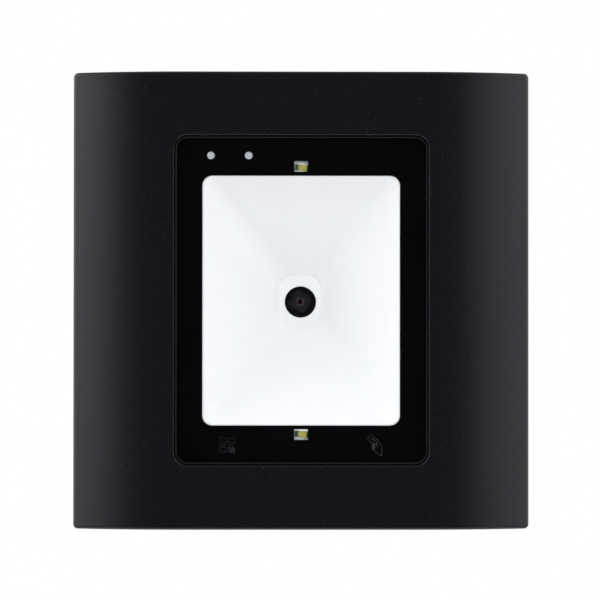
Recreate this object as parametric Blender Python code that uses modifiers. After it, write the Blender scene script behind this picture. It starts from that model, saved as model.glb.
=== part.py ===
"""Fixed barcode reader that is built into a panel: an arched square bezel with a flush glass window,
a white light funnel with the camera at its foot, and a rear case that passes through the panel.

Blender 4.5, metres, +Z up. The reader faces -Y, and its origin is the centre of the flat back of
the rear case. Every piece is drawn lying on its back: X across, Y up the face, Z towards the
viewer, with Z = 0 at the back. The empty reader_axes stands the whole reader up.
"""

import math

import bmesh
import bpy
from mathutils import Matrix

# Whole reader
OVERALL_DEPTH = 0.040
SEAT_GAP = 0.0003
SIDE_GAP = 0.0005

# Front bezel
BEZEL_WIDTH = 0.110
BEZEL_HEIGHT = 0.110
BEZEL_DEPTH = 0.0112
BEZEL_WALL = 0.0024
BEZEL_CORNER = 0.00115
BEZEL_EDGE = 0.0005
FLAT_WIDTH = 0.057
ARCH_DROP = 0.0058
RIM_WIDTH = 0.0045
RIM_HEIGHT = 0.0020
RIB_THICKNESS = 0.0012
RIB_DEPTH = 0.0076
RIB_SPACING = 0.013

# Window
WINDOW_SIDE = 0.02425
WINDOW_END = 0.01525
WINDOW_CORNER = 0.00335
WINDOW_CHAMFER = 0.00025
WINDOW_COLLAR = 0.0020
GLASS_FIT = 0.0004
GLASS_RECESS = 0.0001
GLASS_THICKNESS = 0.0015
GLASS_CHAMFER = 0.0003
FILM_INSET = 0.00045
FILM_THICKNESS = 0.0002
TAPE_WIDTH = 0.00145
TAPE_THICKNESS = 0.0005
LEDGE_WIDTH = 0.0020
LEDGE_THICKNESS = 0.0020

# Clear fields in the printed film
APERTURE_SIDE = 0.00695
APERTURE_END = 0.00965
APERTURE_CORNER = 0.0024
LED_WINDOW_WIDTH = 0.00335
LED_WINDOW_HEIGHT = 0.0027
LED_OFFSET = 0.0021
STATUS_HOLE = 0.0020
STATUS_END = 0.00475
STATUS_SIDE = 0.00915
STATUS_SPACING = 0.0091

# Light funnel
MOUTH_RIM = 0.0004
MOUTH_CORNER = 0.0020
LIP_WALL = 0.0006
FUNNEL_DEPTH = 0.0236
FUNNEL_WALL = 0.0013
FLOOR_WIDTH = 0.0109
FLOOR_HEIGHT = 0.0146
FLOOR_CORNER = 0.0030
FLOOR_THICKNESS = 0.0010
CAMERA_HOLE = 0.0077
FLANGE_THICKNESS = 0.0015
EAR_REACH = 0.0050
EAR_WIDTH = 0.0070
EAR_END = 0.01375
POST_DIAMETER = 0.0050
POST_SIDE = 0.00475
POST_UP = 0.0240

# Light board and its lamps
LIGHT_BOARD_THICKNESS = 0.0016
LED_LENGTH = 0.0032
LED_WIDTH = 0.0016
LED_BASE = 0.0004
LED_BLOCK_LENGTH = 0.0019
LED_BLOCK_HEIGHT = 0.0005
LED_TURN = math.radians(-4.0)
STATUS_BODY_WIDTH = 0.0026
STATUS_BODY_HEIGHT = 0.0022
STATUS_BODY_THICKNESS = 0.0006
STATUS_LENS = 0.0021
STATUS_DOME = 0.0003
FLEX_WIDTH = 0.0050
FLEX_THICKNESS = 0.0003
FLEX_ACROSS = 0.0120
FLEX_END = 0.00725
FLEX_ENTRY = 0.0012

# Card antenna
ANTENNA_THICKNESS = 0.0010
ANTENNA_MARGIN = 0.0007
ANTENNA_LAP_SIDE = 0.0003
ANTENNA_LAP_END = 0.0011

# Camera
HOLDER_WIDTH = 0.0084
HOLDER_DEPTH = 0.0039
BARREL_DIAMETER = 0.0052
BARREL_FIT = 0.0002
BARREL_PROUD = 0.0010
BARREL_LENGTH = 0.0034
BARREL_MOUTH = 0.0024
BARREL_FLATS = 0.0047
BARREL_TURN = math.radians(-32.0)
LENS_DIAMETER = 0.0018
LENS_THICKNESS = 0.0005
LENS_CROWN = 0.0003
LENS_SINK = 0.0006
LENS_BORE = 0.0012
SENSOR_WIDTH = 0.0048
SENSOR_THICKNESS = 0.0006
SENSOR_ROOM = 0.0064
SENSOR_ROOM_DEPTH = 0.0012

# Main board and what it carries
MAIN_BOARD_THICKNESS = 0.0016
MAIN_BOARD_CORNER = 0.0015
MAIN_BOARD_ROOM = 0.0036
PROCESSOR_WIDTH = 0.0120
PROCESSOR_THICKNESS = 0.0012
PROCESSOR_PLACE = (0.0200, 0.0110)
MEMORY_WIDTH = 0.0080
MEMORY_HEIGHT = 0.0110
MEMORY_THICKNESS = 0.0010
MEMORY_PLACE = (-0.0210, 0.0110)
BUZZER_DIAMETER = 0.0120
BUZZER_HEIGHT = 0.0065
BUZZER_HOLE = 0.0020
BUZZER_PLACE = (0.0210, -0.0130)
FLEX_SOCKET_WIDTH = 0.0080
FLEX_SOCKET_HEIGHT = 0.0032
FLEX_SOCKET_DEPTH = 0.0022

# Cable socket
SOCKET_ACROSS = -0.0120
SOCKET_WIDTH = 0.0160
SOCKET_LENGTH = 0.0155
SOCKET_DEPTH = 0.0130
SOCKET_FLOOR = 0.0018
PLUG_WIDTH = 0.0118
PLUG_DEPTH = 0.0070
PLUG_LENGTH = 0.0125
LATCH_WIDTH = 0.0060
LATCH_DEPTH = 0.0028
CONTACT_COUNT = 8
CONTACT_PITCH = 0.00102
CONTACT_WIDTH = 0.00046
CONTACT_LENGTH = 0.0072
CONTACT_BAR = 0.0016
CONTACT_THICKNESS = 0.0005

# Rear case
CASE_WALL = 0.0020
CASE_CORNER = 0.0040
CASE_EDGE = 0.0015
CASE_FRONT = 0.0083
CASE_MARGIN = 0.00025
CASE_FLANGE_SIDE = 0.0034
CASE_FLANGE_END = 0.0055
CASE_FLANGE_THICKNESS = 0.0020
PAD_DIAMETER = 0.0050
PAD_ACROSS = 0.0140
PAD_END = 0.0080
SLOT_COUNT = 7
SLOT_PITCH = 0.0055
SLOT_WIDTH = 0.0020
SLOT_HEIGHT = 0.0180
SLOT_END = 0.0180

# Fixings
SCREW_FIT = 0.0002
REFLECTOR_SCREW = (0.0018, 0.0036, 0.0012, 0.0045)
BOARD_SCREW = (0.0020, 0.0042, 0.0014, 0.0070)
CASE_SCREW = (0.0022, 0.0044, 0.0015, 0.0070)
CASE_SCREW_INSET = 0.0060
CASE_BOSS = 0.0054
REFLECTOR_BOSS = 0.0050
INSERT_FLANGE = 0.0056
INSERT_DIAMETER = 0.0042
INSERT_LENGTH = 0.0043
INSERT_BORE = 0.0025
INSERT_BORE_DEPTH = 0.0045
INSERT_BOSS = 0.0072
INSERT_SIDE = 0.0074
INSERT_END = 0.0170
GASKET_INSET = 0.0005
GASKET_WIDTH = 0.0037
GASKET_THICKNESS = 0.0010

# Roundness of the facets
ARCH_STEPS = 10
CORNER_STEPS = 4
ROUND_STEPS = 24
HOLE_STEPS = 12
OVERSHOOT = 0.0010
WELD = 0.000001

# Depths of the planes behind the bezel's crown, from the glass to the back of the window's ledge
GLASS_BACK = GLASS_RECESS + GLASS_THICKNESS
FILM_FRONT = GLASS_BACK + SEAT_GAP
FILM_BACK = FILM_FRONT + FILM_THICKNESS
TAPE_FRONT = FILM_BACK + SEAT_GAP
TAPE_BACK = TAPE_FRONT + TAPE_THICKNESS
LEDGE_FRONT = TAPE_BACK + SEAT_GAP
LEDGE_BACK = LEDGE_FRONT + LEDGE_THICKNESS

# Depths of the funnel, the boards and the panel
MOUTH_FRONT = FILM_BACK + SEAT_GAP
FLOOR_FRONT = MOUTH_FRONT + FUNNEL_DEPTH
FLANGE_FRONT = LEDGE_BACK + SEAT_GAP
FLANGE_BACK = FLANGE_FRONT + FLANGE_THICKNESS
LIGHT_BOARD_BACK = FLANGE_FRONT - SEAT_GAP
LIGHT_BOARD_FRONT = LIGHT_BOARD_BACK - LIGHT_BOARD_THICKNESS
ANTENNA_FRONT = FLANGE_BACK + SEAT_GAP
ANTENNA_BACK = ANTENNA_FRONT + ANTENNA_THICKNESS
CASE_INNER_BACK = OVERALL_DEPTH - CASE_WALL
MAIN_BOARD_BACK = CASE_INNER_BACK - MAIN_BOARD_ROOM
MAIN_BOARD_FRONT = MAIN_BOARD_BACK - MAIN_BOARD_THICKNESS
CHIP_SEAT = MAIN_BOARD_FRONT - SEAT_GAP
GASKET_FRONT = BEZEL_DEPTH + SEAT_GAP
PANEL_PLANE = GASKET_FRONT + GASKET_THICKNESS

# Sizes that follow from the bezel: the window, the aperture and the places of what they hold
WINDOW_WIDTH = BEZEL_WIDTH - 2 * WINDOW_SIDE
WINDOW_HEIGHT = BEZEL_HEIGHT - 2 * WINDOW_END
APERTURE_WIDTH = WINDOW_WIDTH - 2 * APERTURE_SIDE
APERTURE_HEIGHT = WINDOW_HEIGHT - 2 * APERTURE_END
STATUS_HEIGHT = WINDOW_HEIGHT / 2 - STATUS_END
STATUS_LEFT = STATUS_SIDE - WINDOW_WIDTH / 2
STATUS_RIGHT = STATUS_LEFT + STATUS_SPACING
COLLAR_WIDTH = WINDOW_WIDTH + 2 * WINDOW_COLLAR
COLLAR_HEIGHT = WINDOW_HEIGHT + 2 * WINDOW_COLLAR
LEDGE_OPENING_WIDTH = WINDOW_WIDTH - 2 * LEDGE_WIDTH
LEDGE_OPENING_HEIGHT = WINDOW_HEIGHT - 2 * LEDGE_WIDTH
GLASS_WIDTH = WINDOW_WIDTH - 2 * GLASS_FIT
GLASS_HEIGHT = WINDOW_HEIGHT - 2 * GLASS_FIT
GLASS_CORNER = WINDOW_CORNER - GLASS_FIT
MOUTH_WIDTH = APERTURE_WIDTH - 2 * MOUTH_RIM
MOUTH_HEIGHT = APERTURE_HEIGHT - 2 * MOUTH_RIM
LIP_WIDTH = APERTURE_WIDTH + 2 * LIP_WALL
LIP_HEIGHT = APERTURE_HEIGHT + 2 * LIP_WALL
LIP_CORNER = APERTURE_CORNER + LIP_WALL
LED_UP = APERTURE_HEIGHT / 2 + LED_OFFSET
EAR_ACROSS = COLLAR_WIDTH / 2 + EAR_REACH - EAR_WIDTH / 2 + SEAT_GAP
EAR_HEIGHT = COLLAR_HEIGHT / 2 - EAR_END
POST_ACROSS = COLLAR_WIDTH / 2 - POST_SIDE
FLEX_UP = COLLAR_HEIGHT / 2 - FLEX_END
ANTENNA_OPENING_WIDTH = APERTURE_WIDTH - 2 * ANTENNA_LAP_SIDE
ANTENNA_OPENING_HEIGHT = APERTURE_HEIGHT - 2 * ANTENNA_LAP_END
CASE_WIDTH = 2 * (EAR_ACROSS + EAR_WIDTH / 2 + CASE_MARGIN + CASE_WALL)
CASE_HEIGHT = COLLAR_HEIGHT + 2 * (CASE_MARGIN + CASE_WALL)
CASE_SCREW_ACROSS = CASE_WIDTH / 2 - CASE_SCREW_INSET
CASE_SCREW_UP = CASE_HEIGHT / 2 + CASE_FLANGE_END / 2
PAD_UP = CASE_HEIGHT / 2 - PAD_END
SLOT_UP = CASE_HEIGHT / 2 - SLOT_END
INSERT_ACROSS = BEZEL_WIDTH / 2 - INSERT_SIDE
INSERT_UP = BEZEL_HEIGHT / 2 - INSERT_END
MAIN_BOARD_WIDTH = CASE_WIDTH - 2 * (CASE_WALL + SIDE_GAP)
MAIN_BOARD_HEIGHT = CASE_HEIGHT - 2 * (CASE_WALL + SIDE_GAP)
ARCH_RADIUS = (((BEZEL_WIDTH - FLAT_WIDTH) / 2) ** 2 + ARCH_DROP**2) / (2 * ARCH_DROP)


def clear_scene():
    for thing in list(bpy.data.objects):
        bpy.data.objects.remove(thing)


def new_collection(name):
    collection = bpy.data.collections.new(name)
    bpy.context.scene.collection.children.link(collection)
    return collection


def new_axes():
    """The empty that stands the reader up: drawn +Z turns to -Y, drawn +Y turns to +Z."""
    axes = bpy.data.objects.new("reader_axes", None)
    bpy.context.scene.collection.objects.link(axes)
    axes.rotation_euler = (math.pi / 2, 0.0, 0.0)
    return axes


clear_scene()
PARTS = new_collection("fixed_barcode_reader")
CUTTERS = new_collection("cutters")
AXES = new_axes()


def finish(name, colour, roughness, metallic=0.0, transmission=0.0):
    material = bpy.data.materials.new(name)
    material.use_nodes = True
    shader = material.node_tree.nodes["Principled BSDF"]
    shader.inputs["Base Color"].default_value = (*colour, 1.0)
    shader.inputs["Roughness"].default_value = roughness
    shader.inputs["Metallic"].default_value = metallic
    shader.inputs["Transmission Weight"].default_value = transmission
    material.diffuse_color = (*colour, 1.0)
    return material


BLACK_PLASTIC = finish("black_plastic", (0.010, 0.010, 0.011), 0.55)
CASE_PLASTIC = finish("case_plastic", (0.016, 0.016, 0.017), 0.60)
CLEAR_GLASS = finish("clear_glass", (0.95, 0.97, 0.97), 0.03, transmission=1.0)
BLACK_PRINT = finish("black_print", (0.002, 0.002, 0.004), 0.35)
FOAM = finish("foam", (0.020, 0.020, 0.021), 0.90)
WHITE_PLASTIC = finish("white_plastic", (0.87, 0.88, 0.89), 0.50)
WHITE_BOARD = finish("white_board", (0.62, 0.64, 0.65), 0.45)
GREEN_BOARD = finish("green_board", (0.015, 0.110, 0.050), 0.40)
PHOSPHOR = finish("phosphor", (0.50, 0.46, 0.12), 0.45)
LAMP_WHITE = finish("lamp_white", (0.60, 0.62, 0.66), 0.40)
AMBER_FILM = finish("amber_film", (0.45, 0.20, 0.04), 0.35)
BARREL_BLACK = finish("barrel_black", (0.008, 0.008, 0.010), 0.50)
LENS_GLASS = finish("lens_glass", (0.05, 0.01, 0.02), 0.05, transmission=0.6)
CHIP_BLACK = finish("chip_black", (0.020, 0.020, 0.022), 0.45)
CONNECTOR_WHITE = finish("connector_white", (0.70, 0.68, 0.60), 0.50)
GOLD = finish("gold", (0.80, 0.55, 0.20), 0.25, metallic=1.0)
BRASS = finish("brass", (0.70, 0.50, 0.22), 0.35, metallic=1.0)
STEEL = finish("steel", (0.45, 0.45, 0.46), 0.35, metallic=1.0)


def level(depth):
    """Height above the reader's back of a plane that lies this deep behind the bezel's crown."""
    return OVERALL_DEPTH - depth


def corners(across, up):
    """The four places of a rectangle of fixings: upper left, upper right, lower left, lower right."""
    return [(-across, up), (across, up), (-across, -up), (across, -up)]


def block(width, height, corner, bottom, top, place=(0.0, 0.0)):
    """A plate between two levels, with its upright corners rounded."""
    bm = bmesh.new()
    bmesh.ops.create_cube(bm, size=1.0)
    bmesh.ops.scale(bm, vec=(width, height, top - bottom), verts=bm.verts)
    if corner:
        upright = [e for e in bm.edges if abs(e.verts[0].co.z - e.verts[1].co.z) > WELD]
        bmesh.ops.bevel(
            bm,
            geom=upright,
            offset=corner,
            offset_type="OFFSET",
            segments=CORNER_STEPS,
            profile=0.5,
            affect="EDGES",
        )
    bmesh.ops.translate(bm, vec=(*place, (bottom + top) / 2), verts=bm.verts)
    return bm


def rods(diameter, bottom, top, places, steps=ROUND_STEPS):
    """A round rod between two levels at each place."""
    bm = bmesh.new()
    for place in places:
        bmesh.ops.create_cone(
            bm,
            cap_ends=True,
            segments=steps,
            radius1=diameter / 2,
            radius2=diameter / 2,
            depth=top - bottom,
            matrix=Matrix.Translation((*place, (bottom + top) / 2)),
        )
    return bm


def together(shapes):
    """One bmesh that holds several shapes which don't touch each other."""
    bm = bmesh.new()
    for shape in shapes:
        mesh = bpy.data.meshes.new("shape")
        shape.to_mesh(mesh)
        shape.free()
        bm.from_mesh(mesh)
        bpy.data.meshes.remove(mesh)
    return bm


def ease(bm, edges, size, steps):
    """Rounds the edges given, or cuts them to a chamfer when steps is 1."""
    bmesh.ops.bevel(
        bm,
        geom=edges,
        offset=size,
        offset_type="OFFSET",
        segments=steps,
        profile=0.5,
        affect="EDGES",
    )
    return bm


def ease_level(bm, z, size, steps):
    """Rounds or chamfers the edges that lie at one level."""
    rim = [e for e in bm.edges if all(abs(v.co.z - z) < WELD for v in e.verts)]
    return ease(bm, rim, size, steps)


def taper(bm, top_size, bottom_size):
    """Draws the lower loop of a rounded block in to another rounded rectangle.

    Each size is (width, height, corner), and the block is centred on the axis."""
    width, height, corner = top_size
    new_width, new_height, new_corner = bottom_size
    lowest = min(v.co.z for v in bm.verts)
    for vert in bm.verts:
        if vert.co.z > lowest + WELD:
            continue
        side = math.copysign(1.0, vert.co.x)
        end = math.copysign(1.0, vert.co.y)
        turn_x = (vert.co.x - side * (width / 2 - corner)) / corner
        turn_y = (vert.co.y - end * (height / 2 - corner)) / corner
        vert.co.x = side * (new_width / 2 - new_corner) + new_corner * turn_x
        vert.co.y = end * (new_height / 2 - new_corner) + new_corner * turn_y
    return bm


def prism(outline, length):
    """A solid along Y whose section in the XZ plane is the outline."""
    curve = bpy.data.curves.new("outline", "CURVE")
    curve.dimensions = "2D"
    curve.fill_mode = "BOTH"
    curve.extrude = length / 2
    spline = curve.splines.new("POLY")
    spline.points.add(len(outline) - 1)
    for point, (x, z) in zip(spline.points, outline):
        point.co = (x, z, 0.0, 1.0)
    spline.use_cyclic_u = True
    guide = bpy.data.objects.new("outline", curve)
    bpy.context.scene.collection.objects.link(guide)
    graph = bpy.context.evaluated_depsgraph_get()
    mesh = bpy.data.meshes.new_from_object(guide.evaluated_get(graph))
    bpy.data.objects.remove(guide)
    bm = bmesh.new()
    bm.from_mesh(mesh)
    bpy.data.meshes.remove(mesh)
    bmesh.ops.remove_doubles(bm, verts=bm.verts, dist=WELD)
    bmesh.ops.dissolve_limit(bm, angle_limit=math.radians(0.2), verts=bm.verts, edges=bm.edges)
    turn = Matrix.Rotation(math.pi / 2, 3, "X")
    bmesh.ops.rotate(bm, cent=(0.0, 0.0, 0.0), matrix=turn, verts=bm.verts)
    bmesh.ops.recalc_face_normals(bm, faces=bm.faces)
    return bm


def piece(name, bm, material, place=(0.0, 0.0)):
    """One part of the reader, drawn about its own place on the face."""
    mesh = bpy.data.meshes.new(name)
    bm.to_mesh(mesh)
    bm.free()
    mesh.materials.append(material)
    thing = bpy.data.objects.new(name, mesh)
    PARTS.objects.link(thing)
    thing.parent = AXES
    thing.location = (*place, 0.0)
    return thing


def cutter(name, bm):
    """A helper solid that shapes a part and isn't one itself."""
    mesh = bpy.data.meshes.new(name)
    bm.to_mesh(mesh)
    bm.free()
    thing = bpy.data.objects.new(name, mesh)
    CUTTERS.objects.link(thing)
    thing.parent = AXES
    thing.hide_render = True
    thing.display_type = "WIRE"
    return thing


def shape_with(thing, operation, helper):
    modifier = thing.modifiers.new(helper.name, "BOOLEAN")
    modifier.operation = operation
    modifier.object = helper
    modifier.solver = "EXACT"


def cut(thing, name, bm):
    shape_with(thing, "DIFFERENCE", cutter(name, bm))


def join(thing, name, bm):
    shape_with(thing, "UNION", cutter(name, bm))


def turned(name, profile, material, place, steps=ROUND_STEPS):
    """A turned part. Its (radius, level) profile runs down its outer side from top to bottom,
    and closes on itself when it keeps clear of the axis."""
    mesh = bpy.data.meshes.new(name)
    edges = [(i, i + 1) for i in range(len(profile) - 1)]
    if min(radius for radius, _ in profile) > WELD:
        edges.append((len(profile) - 1, 0))
    mesh.from_pydata([(radius, 0.0, z) for radius, z in profile], edges, [])
    mesh.materials.append(material)
    thing = bpy.data.objects.new(name, mesh)
    PARTS.objects.link(thing)
    thing.parent = AXES
    thing.location = (*place, 0.0)
    spin = thing.modifiers.new("turn", "SCREW")
    spin.steps = steps
    spin.render_steps = steps
    spin.use_merge_vertices = True
    spin.merge_threshold = 0.00001
    spin.use_smooth_shade = False
    return thing


def dome(radius, rise, seat, steps):
    """Profile points of a low dome, from its top on the axis out to its edge at the seat level."""
    ball = (radius**2 + rise**2) / (2 * rise)
    sweep = math.asin(radius / ball)
    centre = seat + rise - ball
    angles = [sweep * i / steps for i in range(steps + 1)]
    return [(ball * math.sin(a), centre + ball * math.cos(a)) for a in angles]


def arch_outline(half_width, crown, base, radius):
    """The bezel's section: flat in the middle, an arc down to each side, and upright edges."""
    flat = FLAT_WIDTH / 2
    sweep = math.asin((half_width - flat) / radius)
    angles = [sweep * i / ARCH_STEPS for i in range(ARCH_STEPS + 1)]
    arc = [(flat + radius * math.sin(a), crown - radius * (1 - math.cos(a))) for a in angles]
    return [(-half_width, base), (half_width, base), *arc[::-1], *[(-x, z) for x, z in arc]]


def bezel_blank():
    """The bezel's outer form, with its corners and its front edges rounded."""
    half = BEZEL_WIDTH / 2
    bm = prism(arch_outline(half, level(0.0), level(BEZEL_DEPTH), ARCH_RADIUS), BEZEL_HEIGHT)
    corner = [
        e
        for e in bm.edges
        if all(abs(abs(v.co.x) - half) < WELD for v in e.verts)
        and abs(e.verts[0].co.z - e.verts[1].co.z) > WELD
    ]
    ease(bm, corner, BEZEL_CORNER, CORNER_STEPS)
    bm.normal_update()
    rim = []
    for edge in bm.edges:
        lean = sorted(face.normal.z for face in edge.link_faces)
        if abs(lean[0]) < 0.1 and lean[-1] > 0.5:
            rim.append(edge)
    return ease(bm, rim, BEZEL_EDGE, 2)


def bezel_ribs():
    """Thin ribs from beside the window's collar to the walls, three a side and two at each end."""
    top = level(0.0)
    bottom = level(RIB_DEPTH)
    side_start = COLLAR_WIDTH / 2 + SIDE_GAP
    side_end = BEZEL_WIDTH / 2 - BEZEL_WALL + OVERSHOOT
    end_start = COLLAR_HEIGHT / 2 + SIDE_GAP
    end_end = BEZEL_HEIGHT / 2 - BEZEL_WALL + OVERSHOOT
    ribs = []
    for sign in (-1, 1):
        for row in (-1, 0, 1):
            place = (sign * (side_start + side_end) / 2, row * RIB_SPACING)
            ribs.append(block(side_end - side_start, RIB_THICKNESS, 0.0, bottom, top, place))
        for column in (-1, 1):
            place = (column * RIB_SPACING, sign * (end_start + end_end) / 2)
            ribs.append(block(RIB_THICKNESS, end_end - end_start, 0.0, bottom, top, place))
    return together(ribs)


def bezel_cavity():
    """The hollow behind the bezel, less the collar, the ribs and the bosses that stand in it."""
    lip = level(BEZEL_DEPTH - RIM_HEIGHT)
    section = arch_outline(
        BEZEL_WIDTH / 2 - BEZEL_WALL, level(BEZEL_WALL), lip, ARCH_RADIUS - BEZEL_WALL
    )
    cavity = cutter("bezel_cavity", prism(section, BEZEL_HEIGHT - 2 * BEZEL_WALL))
    mouth = block(
        BEZEL_WIDTH - 2 * RIM_WIDTH,
        BEZEL_HEIGHT - 2 * RIM_WIDTH,
        BEZEL_CORNER,
        level(BEZEL_DEPTH) - OVERSHOOT,
        lip + OVERSHOOT,
    )
    join(cavity, "bezel_rear_mouth", mouth)
    collar = block(
        COLLAR_WIDTH,
        COLLAR_HEIGHT,
        WINDOW_CORNER + WINDOW_COLLAR,
        level(LEDGE_BACK),
        level(-OVERSHOOT),
    )
    cut(cavity, "window_collar", collar)
    cut(cavity, "bezel_ribs", bezel_ribs())
    ear_places = corners(EAR_ACROSS, EAR_HEIGHT)
    case_places = corners(CASE_SCREW_ACROSS, CASE_SCREW_UP)
    insert_places = corners(INSERT_ACROSS, INSERT_UP)
    top = level(-OVERSHOOT)
    case_seat = level(CASE_FRONT - SEAT_GAP)
    cut(cavity, "reflector_bosses", rods(REFLECTOR_BOSS, level(LEDGE_BACK), top, ear_places))
    cut(cavity, "case_bosses", rods(CASE_BOSS, case_seat, top, case_places))
    cut(cavity, "insert_bosses", rods(INSERT_BOSS, level(PANEL_PLANE), top, insert_places))
    return cavity


def window_pocket():
    """The recess that takes the glass, flared at the bezel's face to chamfer its edge."""
    bm = block(
        WINDOW_WIDTH, WINDOW_HEIGHT, WINDOW_CORNER, level(LEDGE_FRONT), level(WINDOW_CHAMFER)
    )
    top = max(bm.faces, key=lambda face: face.calc_center_median().z)
    raised = bmesh.ops.extrude_face_region(bm, geom=[top])
    rim = [v for v in raised["geom"] if isinstance(v, bmesh.types.BMVert)]
    bmesh.ops.delete(bm, geom=[top], context="FACES_ONLY")
    flare = 2 * WINDOW_CHAMFER
    bmesh.ops.translate(bm, vec=(0.0, 0.0, flare), verts=rim)
    wider = (1 + 2 * flare / WINDOW_WIDTH, 1 + 2 * flare / WINDOW_HEIGHT, 1.0)
    bmesh.ops.scale(bm, vec=wider, verts=rim)
    return bm


def make_bezel():
    bezel = piece("front_bezel", bezel_blank(), BLACK_PLASTIC)
    shape_with(bezel, "DIFFERENCE", bezel_cavity())
    cut(bezel, "window_pocket", window_pocket())
    ledge_hole = block(
        LEDGE_OPENING_WIDTH,
        LEDGE_OPENING_HEIGHT,
        WINDOW_CORNER - LEDGE_WIDTH,
        level(LEDGE_BACK) - OVERSHOOT,
        level(LEDGE_FRONT) + OVERSHOOT,
    )
    cut(bezel, "ledge_opening", ledge_hole)
    pilots = [
        pilot_holes(REFLECTOR_SCREW, FLANGE_BACK, LEDGE_BACK, corners(EAR_ACROSS, EAR_HEIGHT)),
        pilot_holes(
            CASE_SCREW,
            CASE_FRONT + CASE_FLANGE_THICKNESS,
            CASE_FRONT - SEAT_GAP,
            corners(CASE_SCREW_ACROSS, CASE_SCREW_UP),
        ),
        rods(
            INSERT_DIAMETER + 2 * SCREW_FIT,
            level(BEZEL_DEPTH) - OVERSHOOT,
            level(GASKET_FRONT - INSERT_LENGTH - SEAT_GAP),
            corners(INSERT_ACROSS, INSERT_UP),
            HOLE_STEPS,
        ),
    ]
    cut(bezel, "bezel_holes", together(pilots))


def pilot_holes(screw, seat, face, places):
    """Blind holes from a face for screws whose heads seat at a depth, a little past their tips."""
    shank, _, _, length = screw
    tip = seat + SEAT_GAP - length - SEAT_GAP
    return rods(shank + 2 * SCREW_FIT, level(face) - OVERSHOOT, level(tip), places, HOLE_STEPS)


def make_glass():
    bm = block(GLASS_WIDTH, GLASS_HEIGHT, GLASS_CORNER, level(GLASS_BACK), level(GLASS_RECESS))
    ease_level(bm, level(GLASS_RECESS), GLASS_CHAMFER, 1)
    piece("window_glass", bm, CLEAR_GLASS)


def make_film():
    """The black printed layer behind the glass, with its clear fields cut out."""
    width = GLASS_WIDTH - 2 * FILM_INSET
    height = GLASS_HEIGHT - 2 * FILM_INSET
    corner = GLASS_CORNER - FILM_INSET
    bottom = level(FILM_BACK) - OVERSHOOT
    top = level(FILM_FRONT) + OVERSHOOT
    film = piece(
        "mask_film", block(width, height, corner, level(FILM_BACK), level(FILM_FRONT)), BLACK_PRINT
    )
    fields = [
        block(APERTURE_WIDTH, APERTURE_HEIGHT, APERTURE_CORNER, bottom, top),
        block(LED_WINDOW_WIDTH, LED_WINDOW_HEIGHT, 0.0, bottom, top, (0.0, LED_UP)),
        block(LED_WINDOW_WIDTH, LED_WINDOW_HEIGHT, 0.0, bottom, top, (0.0, -LED_UP)),
        rods(
            STATUS_HOLE,
            bottom,
            top,
            [(STATUS_LEFT, STATUS_HEIGHT), (STATUS_RIGHT, STATUS_HEIGHT)],
            ROUND_STEPS,
        ),
    ]
    cut(film, "clear_fields", together(fields))


def frame_ring(name, outer, inner, bottom, top, material):
    """A flat ring between two rounded rectangles, each given as (width, height, corner)."""
    ring = piece(name, block(*outer, bottom, top), material)
    cut(ring, name + "_opening", block(*inner, bottom - OVERSHOOT, top + OVERSHOOT))
    return ring


def make_tape():
    outer = (GLASS_WIDTH, GLASS_HEIGHT, GLASS_CORNER)
    inner = (
        GLASS_WIDTH - 2 * TAPE_WIDTH,
        GLASS_HEIGHT - 2 * TAPE_WIDTH,
        GLASS_CORNER - TAPE_WIDTH,
    )
    frame_ring("glass_tape", outer, inner, level(TAPE_BACK), level(TAPE_FRONT), FOAM)


def funnel_size(depth):
    """Width, height and corner of the funnel's inside at a depth behind the crown."""
    share = (depth - MOUTH_FRONT) / FUNNEL_DEPTH
    return (
        MOUTH_WIDTH + share * (FLOOR_WIDTH - MOUTH_WIDTH),
        MOUTH_HEIGHT + share * (FLOOR_HEIGHT - MOUTH_HEIGHT),
        MOUTH_CORNER + share * (FLOOR_CORNER - MOUTH_CORNER),
    )


def grown(size, wall):
    width, height, corner = size
    return (width + 2 * wall, height + 2 * wall, corner + wall)


def funnel_body():
    """The funnel's outer walls behind the flange."""
    top_size = grown(funnel_size(FLANGE_FRONT), FUNNEL_WALL)
    bottom_size = grown(funnel_size(FLOOR_FRONT), FUNNEL_WALL)
    bottom = level(FLOOR_FRONT + FLOOR_THICKNESS)
    return taper(block(*top_size, bottom, level(FLANGE_FRONT)), top_size, bottom_size)


def funnel_hollow():
    """The space inside the funnel, from just in front of its mouth to its floor."""
    top_depth = MOUTH_FRONT - OVERSHOOT
    top_size = funnel_size(top_depth)
    bottom_size = funnel_size(FLOOR_FRONT)
    return taper(
        block(*top_size, level(FLOOR_FRONT), level(top_depth)), top_size, bottom_size
    )


def flex_slot(name, thing):
    """The opening through which the lamp board's ribbon passes."""
    slot = block(
        FLEX_WIDTH + 2 * SIDE_GAP,
        FLEX_THICKNESS + 2 * SIDE_GAP,
        0.0,
        level(ANTENNA_BACK) - OVERSHOOT,
        level(FLANGE_FRONT) + OVERSHOOT,
        (FLEX_ACROSS, FLEX_UP),
    )
    cut(thing, name, slot)


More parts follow.
